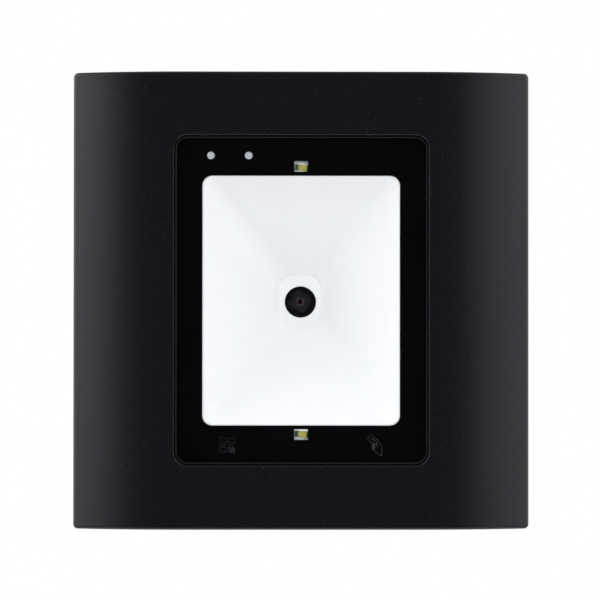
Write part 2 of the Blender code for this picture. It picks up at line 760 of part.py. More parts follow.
def make_reflector():
    reflector = piece(
        "reflector",
        block(LIP_WIDTH, LIP_HEIGHT, LIP_CORNER, level(FLANGE_BACK), level(MOUTH_FRONT)),
        WHITE_PLASTIC,
    )
    flange = block(
        COLLAR_WIDTH,
        COLLAR_HEIGHT,
        WINDOW_CORNER,
        level(FLANGE_BACK),
        level(FLANGE_FRONT),
    )
    ears = [
        block(EAR_WIDTH, EAR_WIDTH, EAR_WIDTH / 4, level(FLANGE_BACK), level(FLANGE_FRONT), place)
        for place in corners(EAR_ACROSS, EAR_HEIGHT)
    ]
    posts = rods(
        POST_DIAMETER, level(CHIP_SEAT), level(FLANGE_FRONT), corners(POST_ACROSS, POST_UP)
    )
    join(reflector, "reflector_flange", flange)
    join(reflector, "reflector_ears", together(ears))
    join(reflector, "funnel_body", funnel_body())
    join(reflector, "reflector_posts", posts)
    cut(reflector, "funnel_hollow", funnel_hollow())
    camera_hole = rods(
        CAMERA_HOLE,
        level(FLOOR_FRONT + FLOOR_THICKNESS) - OVERSHOOT,
        level(FLOOR_FRONT) + OVERSHOOT,
        [(0.0, 0.0)],
        2 * ROUND_STEPS,
    )
    cut(reflector, "camera_hole", camera_hole)
    flex_slot("reflector_slot", reflector)
    shank, _, _, length = BOARD_SCREW
    holes = [
        rods(
            REFLECTOR_SCREW[0] + 2 * SCREW_FIT,
            level(FLANGE_BACK) - OVERSHOOT,
            level(FLANGE_FRONT) + OVERSHOOT,
            corners(EAR_ACROSS, EAR_HEIGHT),
            HOLE_STEPS,
        ),
        rods(
            shank + 2 * SCREW_FIT,
            level(CHIP_SEAT) - OVERSHOOT,
            level(MAIN_BOARD_BACK - length),
            corners(POST_ACROSS, POST_UP),
            HOLE_STEPS,
        ),
    ]
    cut(reflector, "reflector_holes", together(holes))


def make_light_board():
    outer = (
        LEDGE_OPENING_WIDTH - 2 * SIDE_GAP,
        LEDGE_OPENING_HEIGHT - 2 * SIDE_GAP,
        WINDOW_CORNER - LEDGE_WIDTH,
    )
    inner = (LIP_WIDTH + 2 * SEAT_GAP, LIP_HEIGHT + 2 * SEAT_GAP, LIP_CORNER + SEAT_GAP)
    bottom = level(LIGHT_BOARD_BACK)
    frame_ring("led_board", outer, inner, bottom, level(LIGHT_BOARD_FRONT), WHITE_BOARD)


def make_lamp(name, up):
    """A chip lamp: a thin base with a block of phosphor across its middle."""
    seat = level(LIGHT_BOARD_FRONT - SEAT_GAP)
    lamp = piece(
        name, block(LED_LENGTH, LED_WIDTH, 0.0, seat, seat + LED_BASE), PHOSPHOR, (0.0, up)
    )
    lamp.rotation_euler = (0.0, 0.0, LED_TURN)
    top = seat + LED_BASE + LED_BLOCK_HEIGHT
    middle = cutter(name + "_block", block(LED_BLOCK_LENGTH, LED_WIDTH, 0.0, seat, top))
    middle.location = (0.0, up, 0.0)
    middle.rotation_euler = (0.0, 0.0, LED_TURN)
    shape_with(lamp, "UNION", middle)


def make_status_lamp(name, across):
    """A small indicator lamp: a square body with a low round lens."""
    seat = level(LIGHT_BOARD_FRONT - SEAT_GAP)
    top = seat + STATUS_BODY_THICKNESS
    body = block(STATUS_BODY_WIDTH, STATUS_BODY_HEIGHT, 0.0, seat, top)
    lamp = piece(name, body, LAMP_WHITE, (across, STATUS_HEIGHT))
    lens = rods(STATUS_LENS, seat + STATUS_BODY_THICKNESS / 2, top + STATUS_DOME, [(0.0, 0.0)])
    ease_level(lens, top + STATUS_DOME, STATUS_DOME / 2, 2)
    helper = cutter(name + "_lens", lens)
    helper.location = (across, STATUS_HEIGHT, 0.0)
    shape_with(lamp, "UNION", helper)


def make_antenna():
    """The flat coil board that reads cards, held on the funnel's four posts."""
    outer = (
        COLLAR_WIDTH - 2 * ANTENNA_MARGIN,
        COLLAR_HEIGHT - 2 * ANTENNA_MARGIN,
        WINDOW_CORNER - ANTENNA_MARGIN,
    )
    inner = (ANTENNA_OPENING_WIDTH, ANTENNA_OPENING_HEIGHT, LIP_CORNER)
    bottom = level(ANTENNA_BACK)
    top = level(ANTENNA_FRONT)
    antenna = frame_ring("card_antenna", outer, inner, bottom, top, GREEN_BOARD)
    posts = rods(
        POST_DIAMETER + 2 * SEAT_GAP,
        bottom - OVERSHOOT,
        top + OVERSHOOT,
        corners(POST_ACROSS, POST_UP),
    )
    cut(antenna, "antenna_post_holes", posts)
    flex_slot("antenna_slot", antenna)


def make_flex():
    """The ribbon from the lamp board to its socket on the main board."""
    place = (FLEX_ACROSS, FLEX_UP)
    socket_top = level(CHIP_SEAT - FLEX_SOCKET_DEPTH)
    ribbon = block(
        FLEX_WIDTH,
        FLEX_THICKNESS,
        0.0,
        socket_top - FLEX_ENTRY + SEAT_GAP,
        level(LIGHT_BOARD_BACK + SEAT_GAP),
    )
    piece("led_flex", ribbon, AMBER_FILM, place)
    body = block(FLEX_SOCKET_WIDTH, FLEX_SOCKET_HEIGHT, 0.0, level(CHIP_SEAT), socket_top, place)
    socket = piece("flex_socket", body, CONNECTOR_WHITE)
    slot = block(
        FLEX_WIDTH + 2 * SEAT_GAP,
        FLEX_THICKNESS + 2 * SEAT_GAP,
        0.0,
        socket_top - FLEX_ENTRY,
        socket_top + OVERSHOOT,
        place,
    )
    cut(socket, "flex_socket_slot", slot)


def make_camera():
    """The lens barrel in its square holder over the image sensor, on the axis of the funnel.

    The barrel's front has four flats for the tool that sets its focus."""
    seat = level(CHIP_SEAT)
    top = seat + HOLDER_DEPTH
    holder = piece(
        "lens_holder", block(HOLDER_WIDTH, HOLDER_WIDTH, 0.0008, seat, top), CHIP_BLACK
    )
    bore = rods(
        BARREL_DIAMETER + 2 * BARREL_FIT, seat - OVERSHOOT, top + OVERSHOOT, [(0.0, 0.0)]
    )
    room = block(SENSOR_ROOM, SENSOR_ROOM, 0.0, seat - OVERSHOOT, seat + SENSOR_ROOM_DEPTH)
    cut(holder, "barrel_bore", bore)
    cut(holder, "sensor_room", room)
    sensor = block(SENSOR_WIDTH, SENSOR_WIDTH, 0.0, seat, seat + SENSOR_THICKNESS)
    piece("image_sensor", sensor, GREEN_BOARD)
    front = top + BARREL_PROUD
    back = front - BARREL_LENGTH
    lens_seat = front - LENS_SINK - LENS_THICKNESS - LENS_CROWN
    barrel_profile = [
        (LENS_DIAMETER / 2 + BARREL_FIT, front - LENS_SINK),
        (BARREL_MOUTH / 2, front),
        (BARREL_DIAMETER / 2, front),
        (BARREL_DIAMETER / 2, back),
        (LENS_BORE / 2, back),
        (LENS_BORE / 2, lens_seat - BARREL_FIT),
        (LENS_DIAMETER / 2 + BARREL_FIT, lens_seat - BARREL_FIT),
    ]
    barrel = turned("lens_barrel", barrel_profile, BARREL_BLACK, (0.0, 0.0))
    bar = BARREL_DIAMETER / 2
    away = (BARREL_FLATS + bar) / 2
    sides = [(-away, 0.0), (away, 0.0), (0.0, -away), (0.0, away)]
    flats = together([block(bar, bar, 0.0, top, front + OVERSHOOT, side) for side in sides])
    bmesh.ops.rotate(flats, verts=flats.verts, matrix=Matrix.Rotation(BARREL_TURN, 3, "Z"))
    cut(barrel, "barrel_flats", flats)
    crown = dome(LENS_DIAMETER / 2, LENS_CROWN, lens_seat + LENS_THICKNESS, 4)
    lens_profile = [*crown, (LENS_DIAMETER / 2, lens_seat), (0.0, lens_seat)]
    turned("lens_element", lens_profile, LENS_GLASS, (0.0, 0.0))


def make_main_board():
    board = piece(
        "main_board",
        block(
            MAIN_BOARD_WIDTH,
            MAIN_BOARD_HEIGHT,
            MAIN_BOARD_CORNER,
            level(MAIN_BOARD_BACK),
            level(MAIN_BOARD_FRONT),
        ),
        GREEN_BOARD,
    )
    holes = rods(
        BOARD_SCREW[0] + 2 * SCREW_FIT,
        level(MAIN_BOARD_BACK) - OVERSHOOT,
        level(MAIN_BOARD_FRONT) + OVERSHOOT,
        corners(POST_ACROSS, POST_UP),
        HOLE_STEPS,
    )
    cut(board, "main_board_holes", holes)


def make_chips():
    seat = level(CHIP_SEAT)
    processor = block(PROCESSOR_WIDTH, PROCESSOR_WIDTH, 0.0, seat, seat + PROCESSOR_THICKNESS)
    piece("processor", processor, CHIP_BLACK, PROCESSOR_PLACE)
    memory = block(MEMORY_WIDTH, MEMORY_HEIGHT, 0.0, seat, seat + MEMORY_THICKNESS)
    piece("memory_chip", memory, CHIP_BLACK, MEMORY_PLACE)
    rim = BUZZER_HEIGHT / 10
    radius = BUZZER_DIAMETER / 2
    top = seat + BUZZER_HEIGHT
    buzzer_profile = [
        (0.0, top - 2 * rim),
        (BUZZER_HOLE / 2, top - 2 * rim),
        (BUZZER_HOLE / 2, top),
        (radius - rim, top),
        (radius, top - rim),
        (radius, seat),
        (0.0, seat),
    ]
    turned("buzzer", buzzer_profile, CHIP_BLACK, BUZZER_PLACE)


def socket_block(width, length, bottom, top):
    """A block that starts just outside the case's lower wall and runs up the reader."""
    face = -CASE_HEIGHT / 2
    start = face - OVERSHOOT
    place = (SOCKET_ACROSS, (start + face + length) / 2)
    return block(width, face + length - start, 0.0, bottom, top, place)


def make_socket():
    """The modular cable socket, open downwards, with its comb of contacts."""
    seat = level(CHIP_SEAT)
    body = block(
        SOCKET_WIDTH,
        SOCKET_LENGTH,
        0.0,
        seat,
        seat + SOCKET_DEPTH,
        (SOCKET_ACROSS, SOCKET_LENGTH / 2 - CASE_HEIGHT / 2),
    )
    socket = piece("cable_socket", body, CHIP_BLACK)
    floor = seat + SOCKET_FLOOR
    roof = floor + PLUG_DEPTH
    cut(socket, "plug_room", socket_block(PLUG_WIDTH, PLUG_LENGTH, floor, roof))
    latch = socket_block(LATCH_WIDTH, PLUG_LENGTH, roof - OVERSHOOT, roof + LATCH_DEPTH)
    cut(socket, "latch_room", latch)
    inner_end = PLUG_LENGTH - CASE_HEIGHT / 2 - SEAT_GAP
    rest = floor + SEAT_GAP
    top = rest + CONTACT_THICKNESS
    bar_width = CONTACT_COUNT * CONTACT_PITCH
    bar = block(
        bar_width, CONTACT_BAR, 0.0, rest, top, (SOCKET_ACROSS, inner_end - CONTACT_BAR / 2)
    )
    contacts = piece("socket_contacts", bar, GOLD)
    fingers = []
    for i in range(CONTACT_COUNT):
        across = SOCKET_ACROSS + (i - (CONTACT_COUNT - 1) / 2) * CONTACT_PITCH
        place = (across, inner_end - CONTACT_LENGTH / 2 - CONTACT_BAR / 2)
        fingers.append(block(CONTACT_WIDTH, CONTACT_LENGTH, 0.0, rest, top, place))
    join(contacts, "contact_fingers", together(fingers))


def make_case():
    """The rear case: a rounded box with a flange at its front, slots and an opening below."""
    body = block(CASE_WIDTH, CASE_HEIGHT, CASE_CORNER, 0.0, level(CASE_FRONT))
    ease_level(body, 0.0, CASE_EDGE, 3)
    case = piece("rear_case", body, CASE_PLASTIC)
    flange_back = CASE_FRONT + CASE_FLANGE_THICKNESS
    flange = block(
        CASE_WIDTH + 2 * CASE_FLANGE_SIDE,
        CASE_HEIGHT + 2 * CASE_FLANGE_END,
        CASE_CORNER,
        level(flange_back),
        level(CASE_FRONT),
    )
    join(case, "case_flange", flange)
    hollow = block(
        CASE_WIDTH - 2 * CASE_WALL,
        CASE_HEIGHT - 2 * CASE_WALL,
        CASE_CORNER - CASE_WALL,
        level(CASE_INNER_BACK),
        level(CASE_FRONT) + OVERSHOOT,
    )
    pads = rods(
        PAD_DIAMETER,
        CASE_WALL / 2,
        level(MAIN_BOARD_BACK + SEAT_GAP),
        corners(PAD_ACROSS, PAD_UP),
    )
    cut(case, "case_hollow", hollow)
    join(case, "case_pads", pads)
    seat = level(CHIP_SEAT)
    opening = block(
        SOCKET_WIDTH + 2 * SEAT_GAP,
        CASE_WALL + 2 * OVERSHOOT,
        0.0,
        seat - SEAT_GAP,
        seat + SOCKET_DEPTH + SEAT_GAP,
        (SOCKET_ACROSS, (CASE_WALL - CASE_HEIGHT) / 2),
    )
    cut(case, "socket_opening", opening)
    slots = [
        block(
            SLOT_WIDTH,
            SLOT_HEIGHT,
            SLOT_WIDTH / 2 - WELD,
            -OVERSHOOT,
            CASE_WALL + OVERSHOOT,
            ((i - (SLOT_COUNT - 1) / 2) * SLOT_PITCH, SLOT_UP),
        )
        for i in range(SLOT_COUNT)
    ]
    cut(case, "vent_slots", together(slots))
    clearance = [
        rods(
            CASE_SCREW[0] + 2 * SCREW_FIT,
            level(flange_back) - OVERSHOOT,
            level(CASE_FRONT) + OVERSHOOT,
            corners(CASE_SCREW_ACROSS, CASE_SCREW_UP),
            HOLE_STEPS,
        ),
        rods(
            INSERT_BOSS + 2 * SIDE_GAP,
            level(flange_back) - OVERSHOOT,
            level(CASE_FRONT) + OVERSHOOT,
            corners(INSERT_ACROSS, INSERT_UP),
        ),
    ]
    cut(case, "flange_holes", together(clearance))


def make_screws(name, screw, seat, places):
    """Pan head screws driven from behind, with their heads under a face at the seat's depth."""
    shank, head, head_height, length = screw
    under = level(seat + SEAT_GAP)
    low = under - head_height
    tip = under + length
    profile = [
        (0.0, tip),
        (shank / 2 - shank / 5, tip),
        (shank / 2, tip - shank / 5),
        (shank / 2, under),
        (head / 2, under),
        (head / 2, low + head_height / 2),
        (head / 2 - head_height / 2, low),
        (0.0, low),
    ]
    for number, place in enumerate(places, 1):
        turned(f"{name}_{number}", profile, STEEL, place, HOLE_STEPS)


def make_inserts():
    """Threaded brass inserts in the bezel's outer bosses. The panel screws enter them from behind."""
    back = level(PANEL_PLANE)
    under = level(GASKET_FRONT)
    tip = under + INSERT_LENGTH
    bore = INSERT_BORE / 2
    profile = [
        (0.0, tip),
        (INSERT_DIAMETER / 2, tip),
        (INSERT_DIAMETER / 2, under),
        (INSERT_FLANGE / 2, under),
        (INSERT_FLANGE / 2, back),
        (bore, back),
        (bore, back + INSERT_BORE_DEPTH),
        (0.0, back + INSERT_BORE_DEPTH),
    ]
    for number, place in enumerate(corners(INSERT_ACROSS, INSERT_UP), 1):
        turned(f"panel_insert_{number}", profile, BRASS, place, HOLE_STEPS)


def make_gasket():
    width = BEZEL_WIDTH - 2 * GASKET_INSET
    height = BEZEL_HEIGHT - 2 * GASKET_INSET
    outer = (width, height, BEZEL_CORNER)
    inner = (width - 2 * GASKET_WIDTH, height - 2 * GASKET_WIDTH, BEZEL_CORNER)
    frame_ring("panel_gasket", outer, inner, level(PANEL_PLANE), level(GASKET_FRONT), FOAM)


def main():
    make_bezel()
    make_glass()
    make_film()
    make_tape()
    make_reflector()
    make_light_board()
    make_lamp("led_top", LED_UP)
    make_lamp("led_bottom", -LED_UP)
    make_status_lamp("status_led_left", STATUS_LEFT)
    make_status_lamp("status_led_right", STATUS_RIGHT)
    make_antenna()
    make_flex()
    make_camera()
    make_main_board()
    make_chips()
    make_socket()
    make_case()
    make_screws("reflector_screw", REFLECTOR_SCREW, FLANGE_BACK, corners(EAR_ACROSS, EAR_HEIGHT))
    make_screws("board_screw", BOARD_SCREW, MAIN_BOARD_BACK, corners(POST_ACROSS, POST_UP))
    make_screws(
        "case_screw",
        CASE_SCREW,
        CASE_FRONT + CASE_FLANGE_THICKNESS,
        corners(CASE_SCREW_ACROSS, CASE_SCREW_UP),
    )
    make_inserts()
    make_gasket()


main()
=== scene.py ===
"""Fixed barcode reader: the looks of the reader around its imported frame.

Metres, +Z up, and the reader faces -Y. A new piece is drawn in millimetres and lying on its back,
with X across, Y up the face and Z towards the viewer from Z = 0 at the back of the rear case.
piece() then stands it up in metres. Its size and place come from the frame's node of that name.
"""

import math
from types import SimpleNamespace

import bmesh
import bpy
from mathutils import Matrix, Quaternion, Vector


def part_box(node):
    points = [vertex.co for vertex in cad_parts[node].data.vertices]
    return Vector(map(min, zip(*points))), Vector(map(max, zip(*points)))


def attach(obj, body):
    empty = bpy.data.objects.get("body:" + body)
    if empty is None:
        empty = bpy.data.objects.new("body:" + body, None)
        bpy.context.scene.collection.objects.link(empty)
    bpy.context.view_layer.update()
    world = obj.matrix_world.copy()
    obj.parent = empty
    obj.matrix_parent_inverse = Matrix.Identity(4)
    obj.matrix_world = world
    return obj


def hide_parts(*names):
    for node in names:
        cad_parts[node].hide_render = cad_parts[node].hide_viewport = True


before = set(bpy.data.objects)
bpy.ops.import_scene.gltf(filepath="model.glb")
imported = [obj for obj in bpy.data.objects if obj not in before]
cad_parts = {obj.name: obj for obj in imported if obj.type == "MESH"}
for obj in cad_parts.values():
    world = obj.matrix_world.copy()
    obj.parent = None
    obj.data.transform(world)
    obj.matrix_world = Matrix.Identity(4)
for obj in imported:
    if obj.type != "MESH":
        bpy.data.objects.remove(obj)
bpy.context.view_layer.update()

MM = 0.001
OVERSHOOT = 1.0
CORNER_STEPS = 10
ROUND_STEPS = 64
SHARP_ANGLE = math.radians(32.0)
STAND_UP = Matrix.Rotation(math.pi / 2, 4, "X") @ Matrix.Scale(MM, 4)


def room(node):
    """The space that a node of the frame takes, in the drawing's millimetres."""
    low, high = (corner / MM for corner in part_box(node))
    return SimpleNamespace(
        width=high.x - low.x,
        height=high.z - low.z,
        place=((low.x + high.x) / 2, (low.z + high.z) / 2),
        bottom=-high.y,
        top=-low.y,
    )


CROWN = room("front_bezel").top


def level(depth):
    """Height above the reader's back of a plane that lies this deep behind the bezel's crown."""
    return CROWN - depth


def corners(across, up):
    return [(-across, up), (across, up), (-across, -up), (across, -up)]


# Shapes


def slab(width, height, corner, bottom, top, place=(0.0, 0.0)):
    """A plate between two levels, with its upright corners rounded."""
    bm = bmesh.new()
    bmesh.ops.create_cube(bm, size=1.0)
    bmesh.ops.scale(bm, vec=(width, height, top - bottom), verts=bm.verts)
    if corner:
        upright = [e for e in bm.edges if abs(e.verts[0].co.z - e.verts[1].co.z) > 0.001]
        round_off(bm, upright, corner, CORNER_STEPS)
    bmesh.ops.translate(bm, vec=(*place, (bottom + top) / 2), verts=bm.verts)
    return bm


def rods(diameter, bottom, top, places, steps=ROUND_STEPS, tip=None):
    """A round rod between two levels at each place, with another diameter at its top if given."""
    bm = bmesh.new()
    for place in places:
        bmesh.ops.create_cone(
            bm,
            cap_ends=True,
            segments=steps,
            radius1=diameter / 2,
            radius2=(diameter if tip is None else tip) / 2,
            depth=top - bottom,
            matrix=Matrix.Translation((*place, (bottom + top) / 2)),
        )
    return bm


def round_off(bm, edges, size, steps):
    """Rounds the edges given, or cuts them to a chamfer when steps is 1."""
    bmesh.ops.bevel(
        bm,
        geom=edges,
        offset=size,
        offset_type="OFFSET",
        segments=steps,
        profile=0.5,
        affect="EDGES",
        material=-1,
        clamp_overlap=True,
    )
    return bm


def edges_at(bm, z):
    return [e for e in bm.edges if all(abs(v.co.z - z) < 0.001 for v in e.verts)]


def sharp_edges(bm, least=math.radians(40.0)):
    return [e for e in bm.edges if e.is_manifold and e.calc_face_angle() > least]


def grown(size, reach):
    """A rounded rectangle's (width, height, corner) when each side moves out by this reach."""
    return (size[0] + 2 * reach, size[1] + 2 * reach, size[2] + reach)


def reshape(vert, size, new_size):
    """Moves a rounded slab's corner point from one rounded rectangle to another.

    Each size is (width, height, corner), and the slab is centred on the axis."""
    width, height, corner = size
    new_width, new_height, new_corner = new_size
    side = math.copysign(1.0, vert.co.x)
    end = math.copysign(1.0, vert.co.y)
    turn_x = (vert.co.x - side * (width / 2 - corner)) / corner
    turn_y = (vert.co.y - end * (height / 2 - corner)) / corner
    vert.co.x = side * (new_width / 2 - new_corner) + new_corner * turn_x
    vert.co.y = end * (new_height / 2 - new_corner) + new_corner * turn_y


def taper(bm, top_size, bottom_size):
    """Draws the lower loop of a rounded slab in to another rounded rectangle."""
    lowest = min(v.co.z for v in bm.verts)
    for vert in bm.verts:
        if vert.co.z < lowest + 0.001:
            reshape(vert, top_size, bottom_size)
    return bm


def together(*shapes):
    """One bmesh that holds several shapes which don't touch each other."""
    bm = bmesh.new()
    for shape in shapes:
        mesh = bpy.data.meshes.new("shape")
        shape.to_mesh(mesh)
        shape.free()
        bm.from_mesh(mesh)
        bpy.data.meshes.remove(mesh)
    return bm


def lathe(profile, place=(0.0, 0.0), steps=ROUND_STEPS):
    """A turned solid whose (radius, level) profile ends on the axis or closes on itself."""
    bm = bmesh.new()
    points = [bm.verts.new((radius, 0.0, z)) for radius, z in profile]
    for first, second in zip(points, points[1:]):
        bm.edges.new((first, second))
    if min(radius for radius, _ in profile) > 0.0:
        bm.edges.new((points[-1], points[0]))
    bmesh.ops.spin(
        bm,
        geom=bm.verts[:] + bm.edges[:],
        cent=(0.0, 0.0, 0.0),
        axis=(0.0, 0.0, 1.0),
        angle=math.tau,
        steps=steps,
        use_merge=True,
    )
    bmesh.ops.remove_doubles(bm, verts=bm.verts, dist=0.0001)
    bmesh.ops.recalc_face_normals(bm, faces=bm.faces)
    bmesh.ops.translate(bm, vec=(*place, 0.0), verts=bm.verts)
    return bm


def helper(bm):
    mesh = bpy.data.meshes.new("helper")
    bm.to_mesh(mesh)
    bm.free()
    thing = bpy.data.objects.new("helper", mesh)
    bpy.context.scene.collection.objects.link(thing)
    return thing


def carve(bm, *steps):
    """The shape after each (operation, tool) of the steps, done in turn."""
    body = helper(bm)
    tools = []
    for operation, tool in steps:
        tools.append(helper(tool))
        step = body.modifiers.new("step", "BOOLEAN")
        step.operation = operation
        step.object = tools[-1]
        step.solver = "EXACT"
    done = bmesh.new()
    done.from_object(body, bpy.context.evaluated_depsgraph_get())
    for thing in [body, *tools]:
        mesh = thing.data
        bpy.data.objects.remove(thing)
        bpy.data.meshes.remove(mesh)
    bmesh.ops.remove_doubles(done, verts=done.verts, dist=0.0005)
    bmesh.ops.dissolve_degenerate(done, edges=done.edges, dist=0.0005)
    return done


def painted(bm, index):
    """The shape with its faces on one of its piece's materials."""
    for face in bm.faces:
        face.material_index = index
    return bm


def piece(name, bm, materials, slot, *nodes):
    """Stands a drawn shape up in the frame as a piece of the reader, in place of its nodes."""
    bm.transform(STAND_UP)
    for face in bm.faces:
        face.smooth = True
    mesh = bpy.data.meshes.new(name)
    bm.to_mesh(mesh)
    bm.free()
    mesh.set_sharp_from_angle(angle=SHARP_ANGLE)
    for material in materials if isinstance(materials, list) else [materials]:
        mesh.materials.append(material)
    thing = bpy.data.objects.new(name, mesh)
    bpy.context.scene.collection.objects.link(thing)
    shading = thing.modifiers.new("shading", "WEIGHTED_NORMAL")
    shading.keep_sharp = True
    shading.weight = 100
    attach(thing, "root")
    if nodes:
        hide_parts(*nodes)
    return thing


# Finishes


def blank(name):
    material = bpy.data.materials.new(name)
    material.use_nodes = True
    tree = material.node_tree
    return material, tree, tree.nodes["Principled BSDF"]


def node(tree, kind, **settings):
    made = tree.nodes.new(kind)
    for name, value in settings.items():
        if name[0].isupper():
            made.inputs[name.replace("_", " ")].default_value = value
        else:
            setattr(made, name, value)
    return made


def noise(tree, size, detail=3.0, rough=0.55, stretch=None):
    """A noise with spots of about this size in millimetres, on the piece's own coordinates."""
    where = node(tree, "ShaderNodeTexCoord").outputs["Object"]
    if stretch:
        mapping = node(tree, "ShaderNodeMapping", Scale=stretch)
        tree.links.new(where, mapping.inputs["Vector"])
        where = mapping.outputs["Vector"]
    made = node(
        tree, "ShaderNodeTexNoise", Scale=1.0 / (size * MM), Detail=detail, Roughness=rough
    )
    tree.links.new(where, made.inputs["Vector"])
    return made.outputs["Fac"]


def tinted(tree, shader, factor, stops):
    """Base colour from a factor, through (position, colour) stops."""
    ramp = node(tree, "ShaderNodeValToRGB")
    first, last = ramp.color_ramp.elements[0], ramp.color_ramp.elements[-1]
    first.position, first.color = stops[0][0], (*stops[0][1], 1.0)
    last.position, last.color = stops[-1][0], (*stops[-1][1], 1.0)
    for position, colour in stops[1:-1]:
        ramp.color_ramp.elements.new(position).color = (*colour, 1.0)
    tree.links.new(factor, ramp.inputs["Fac"])
    tree.links.new(ramp.outputs["Color"], shader.inputs["Base Color"])
    return ramp


def roughened(tree, shader, factor, low, high):
    spread = node(tree, "ShaderNodeMapRange", From_Min=0.3, From_Max=0.7, To_Min=low, To_Max=high)
    tree.links.new(factor, spread.inputs["Value"])
    tree.links.new(spread.outputs["Result"], shader.inputs["Roughness"])


def bumped(tree, shader, height, depth, strength=1.0):
    """Bump of this depth in millimetres from a 0 to 1 height."""
    bump = node(tree, "ShaderNodeBump", Strength=strength, Distance=depth * MM)
    tree.links.new(height, bump.inputs["Height"])
    tree.links.new(bump.outputs["Normal"], shader.inputs["Normal"])


def surface(name, dark, light, rough, grain, mottle=6.0, **sockets):
    """A moulded, cast or printed finish: two close tones, a roughness range, and a fine grain
    given as (size, depth) in millimetres."""
    material, tree, shader = blank(name)
    tinted(tree, shader, noise(tree, mottle), [(0.35, dark), (0.65, light)])
    roughened(tree, shader, noise(tree, mottle / 3), *rough)
    bumped(tree, shader, noise(tree, grain[0], 2.0), grain[1])
    for socket, value in sockets.items():
        shader.inputs[socket.replace("_", " ")].default_value = value
    material.diffuse_color = (*light, 1.0)
    return material


def clear_glass():
    """Cover glass that lets the lamps' light through to what is behind it."""
    material, tree, shader = blank("cover_glass")
    shader.inputs["Base Color"].default_value = (0.985, 0.99, 0.99, 1.0)
    shader.inputs["Transmission Weight"].default_value = 1.0
    shader.inputs["IOR"].default_value = 1.5
    roughened(tree, shader, noise(tree, 9.0), 0.0, 0.012)
    path = node(tree, "ShaderNodeLightPath")
    either = node(tree, "ShaderNodeMath", operation="MAXIMUM")
    tree.links.new(path.outputs["Is Shadow Ray"], either.inputs[0])
    tree.links.new(path.outputs["Is Diffuse Ray"], either.inputs[1])
    through = node(tree, "ShaderNodeBsdfTransparent", Color=(0.94, 0.94, 0.945, 1.0))
    mix = node(tree, "ShaderNodeMixShader")
    tree.links.new(either.outputs["Value"], mix.inputs[0])
    tree.links.new(shader.outputs["BSDF"], mix.inputs[1])
    tree.links.new(through.outputs["BSDF"], mix.inputs[2])
    tree.links.new(mix.outputs["Shader"], tree.nodes["Material Output"].inputs["Surface"])
    return material


def bezel_plastic():
    """Black plastic with a fine spark-eroded grain, a faint mottle and a few paler specks."""
    material, tree, shader = blank("bezel_plastic")
    where = node(tree, "ShaderNodeTexCoord").outputs["Object"]
    specks = node(tree, "ShaderNodeTexVoronoi", Scale=1.0 / (1.9 * MM), Randomness=1.0)
    tree.links.new(where, specks.inputs["Vector"])
    mottle = [
        (0.34, (0.0062, 0.0047, 0.0054)),
        (0.50, (0.0047, 0.0045, 0.0058)),
        (0.66, (0.0040, 0.0042, 0.0070)),
    ]
    tone = tinted(tree, shader, noise(tree, 0.55, 2.0), mottle)
    pale = node(tree, "ShaderNodeMapRange", From_Min=0.09, From_Max=0.05, To_Min=0.0, To_Max=1.0)
    tree.links.new(specks.outputs["Distance"], pale.inputs["Value"])
    mix = node(tree, "ShaderNodeMix", data_type="RGBA")
    mix.inputs[7].default_value = (0.025, 0.022, 0.021, 1.0)
    tree.links.new(pale.outputs["Result"], mix.inputs[0])
    tree.links.new(tone.outputs["Color"], mix.inputs[6])
    tree.links.new(mix.outputs[2], shader.inputs["Base Color"])
    roughened(tree, shader, noise(tree, 0.45, 2.0), 0.20, 0.29)
    fine = node(tree, "ShaderNodeBump", Strength=1.0, Distance=0.006 * MM)
    tree.links.new(noise(tree, 0.20, 2.0), fine.inputs["Height"])
    coarse = node(tree, "ShaderNodeBump", Strength=1.0, Distance=0.012 * MM)
    tree.links.new(noise(tree, 0.55, 2.0), coarse.inputs["Height"])
    tree.links.new(fine.outputs["Normal"], coarse.inputs["Normal"])
    tree.links.new(coarse.outputs["Normal"], shader.inputs["Normal"])
    shader.inputs["Specular IOR Level"].default_value = 0.42
    shader.inputs["Specular Tint"].default_value = (1.0, 0.95, 1.0, 1.0)
    material.diffuse_color = (0.010, 0.010, 0.011, 1.0)
    return material


BEZEL_BLACK = bezel_plastic()
CASE_BLACK = surface(
    "case_plastic", (0.011, 0.011, 0.012), (0.016, 0.016, 0.017), (0.46, 0.56), (0.35, 0.03)
)
COVER_GLASS = clear_glass()
BLACK_PRINT = surface(
    "black_print",
    (0.0008, 0.0008, 0.0012),
    (0.0012, 0.0012, 0.0017),
    (0.50, 0.60),
    (0.5, 0.002),
    Specular_IOR_Level=0.03,
)
GREY_PRINT = surface(
    "grey_print", (0.078, 0.081, 0.092), (0.094, 0.098, 0.112), (0.45, 0.55), (0.3, 0.002)
)
FAINT_PRINT = surface(
    "faint_print", (0.011, 0.011, 0.014), (0.015, 0.015, 0.019), (0.45, 0.55), (0.3, 0.002)
)
WARM_PRINT = surface(
    "warm_print", (0.054, 0.043, 0.040), (0.068, 0.054, 0.050), (0.45, 0.55), (0.3, 0.002)
)
GROUND_EDGE = surface(
    "ground_glass_edge",
    (0.0150, 0.0150, 0.0175),
    (0.0200, 0.0200, 0.0230),
    (0.45, 0.60),
    (0.15, 0.004),
    1.0,
    Specular_IOR_Level=0.12,
)
FOAM = surface(
    "black_foam", (0.006, 0.006, 0.006), (0.020, 0.020, 0.021), (0.85, 0.95), (0.25, 0.12)
)
FUNNEL_WHITE = surface(
    "white_plastic", (0.938, 0.954, 0.954), (0.948, 0.963, 0.963), (0.42, 0.52), (0.18, 0.006)
)
BOARD_WHITE = surface(
    "white_board", (0.62, 0.64, 0.68), (0.70, 0.72, 0.76), (0.40, 0.50), (0.2, 0.004)
)
BOARD_PRINT = surface(
    "board_print", (0.92, 0.95, 0.95), (0.95, 0.97, 0.97), (0.50, 0.60), (0.15, 0.006)
)
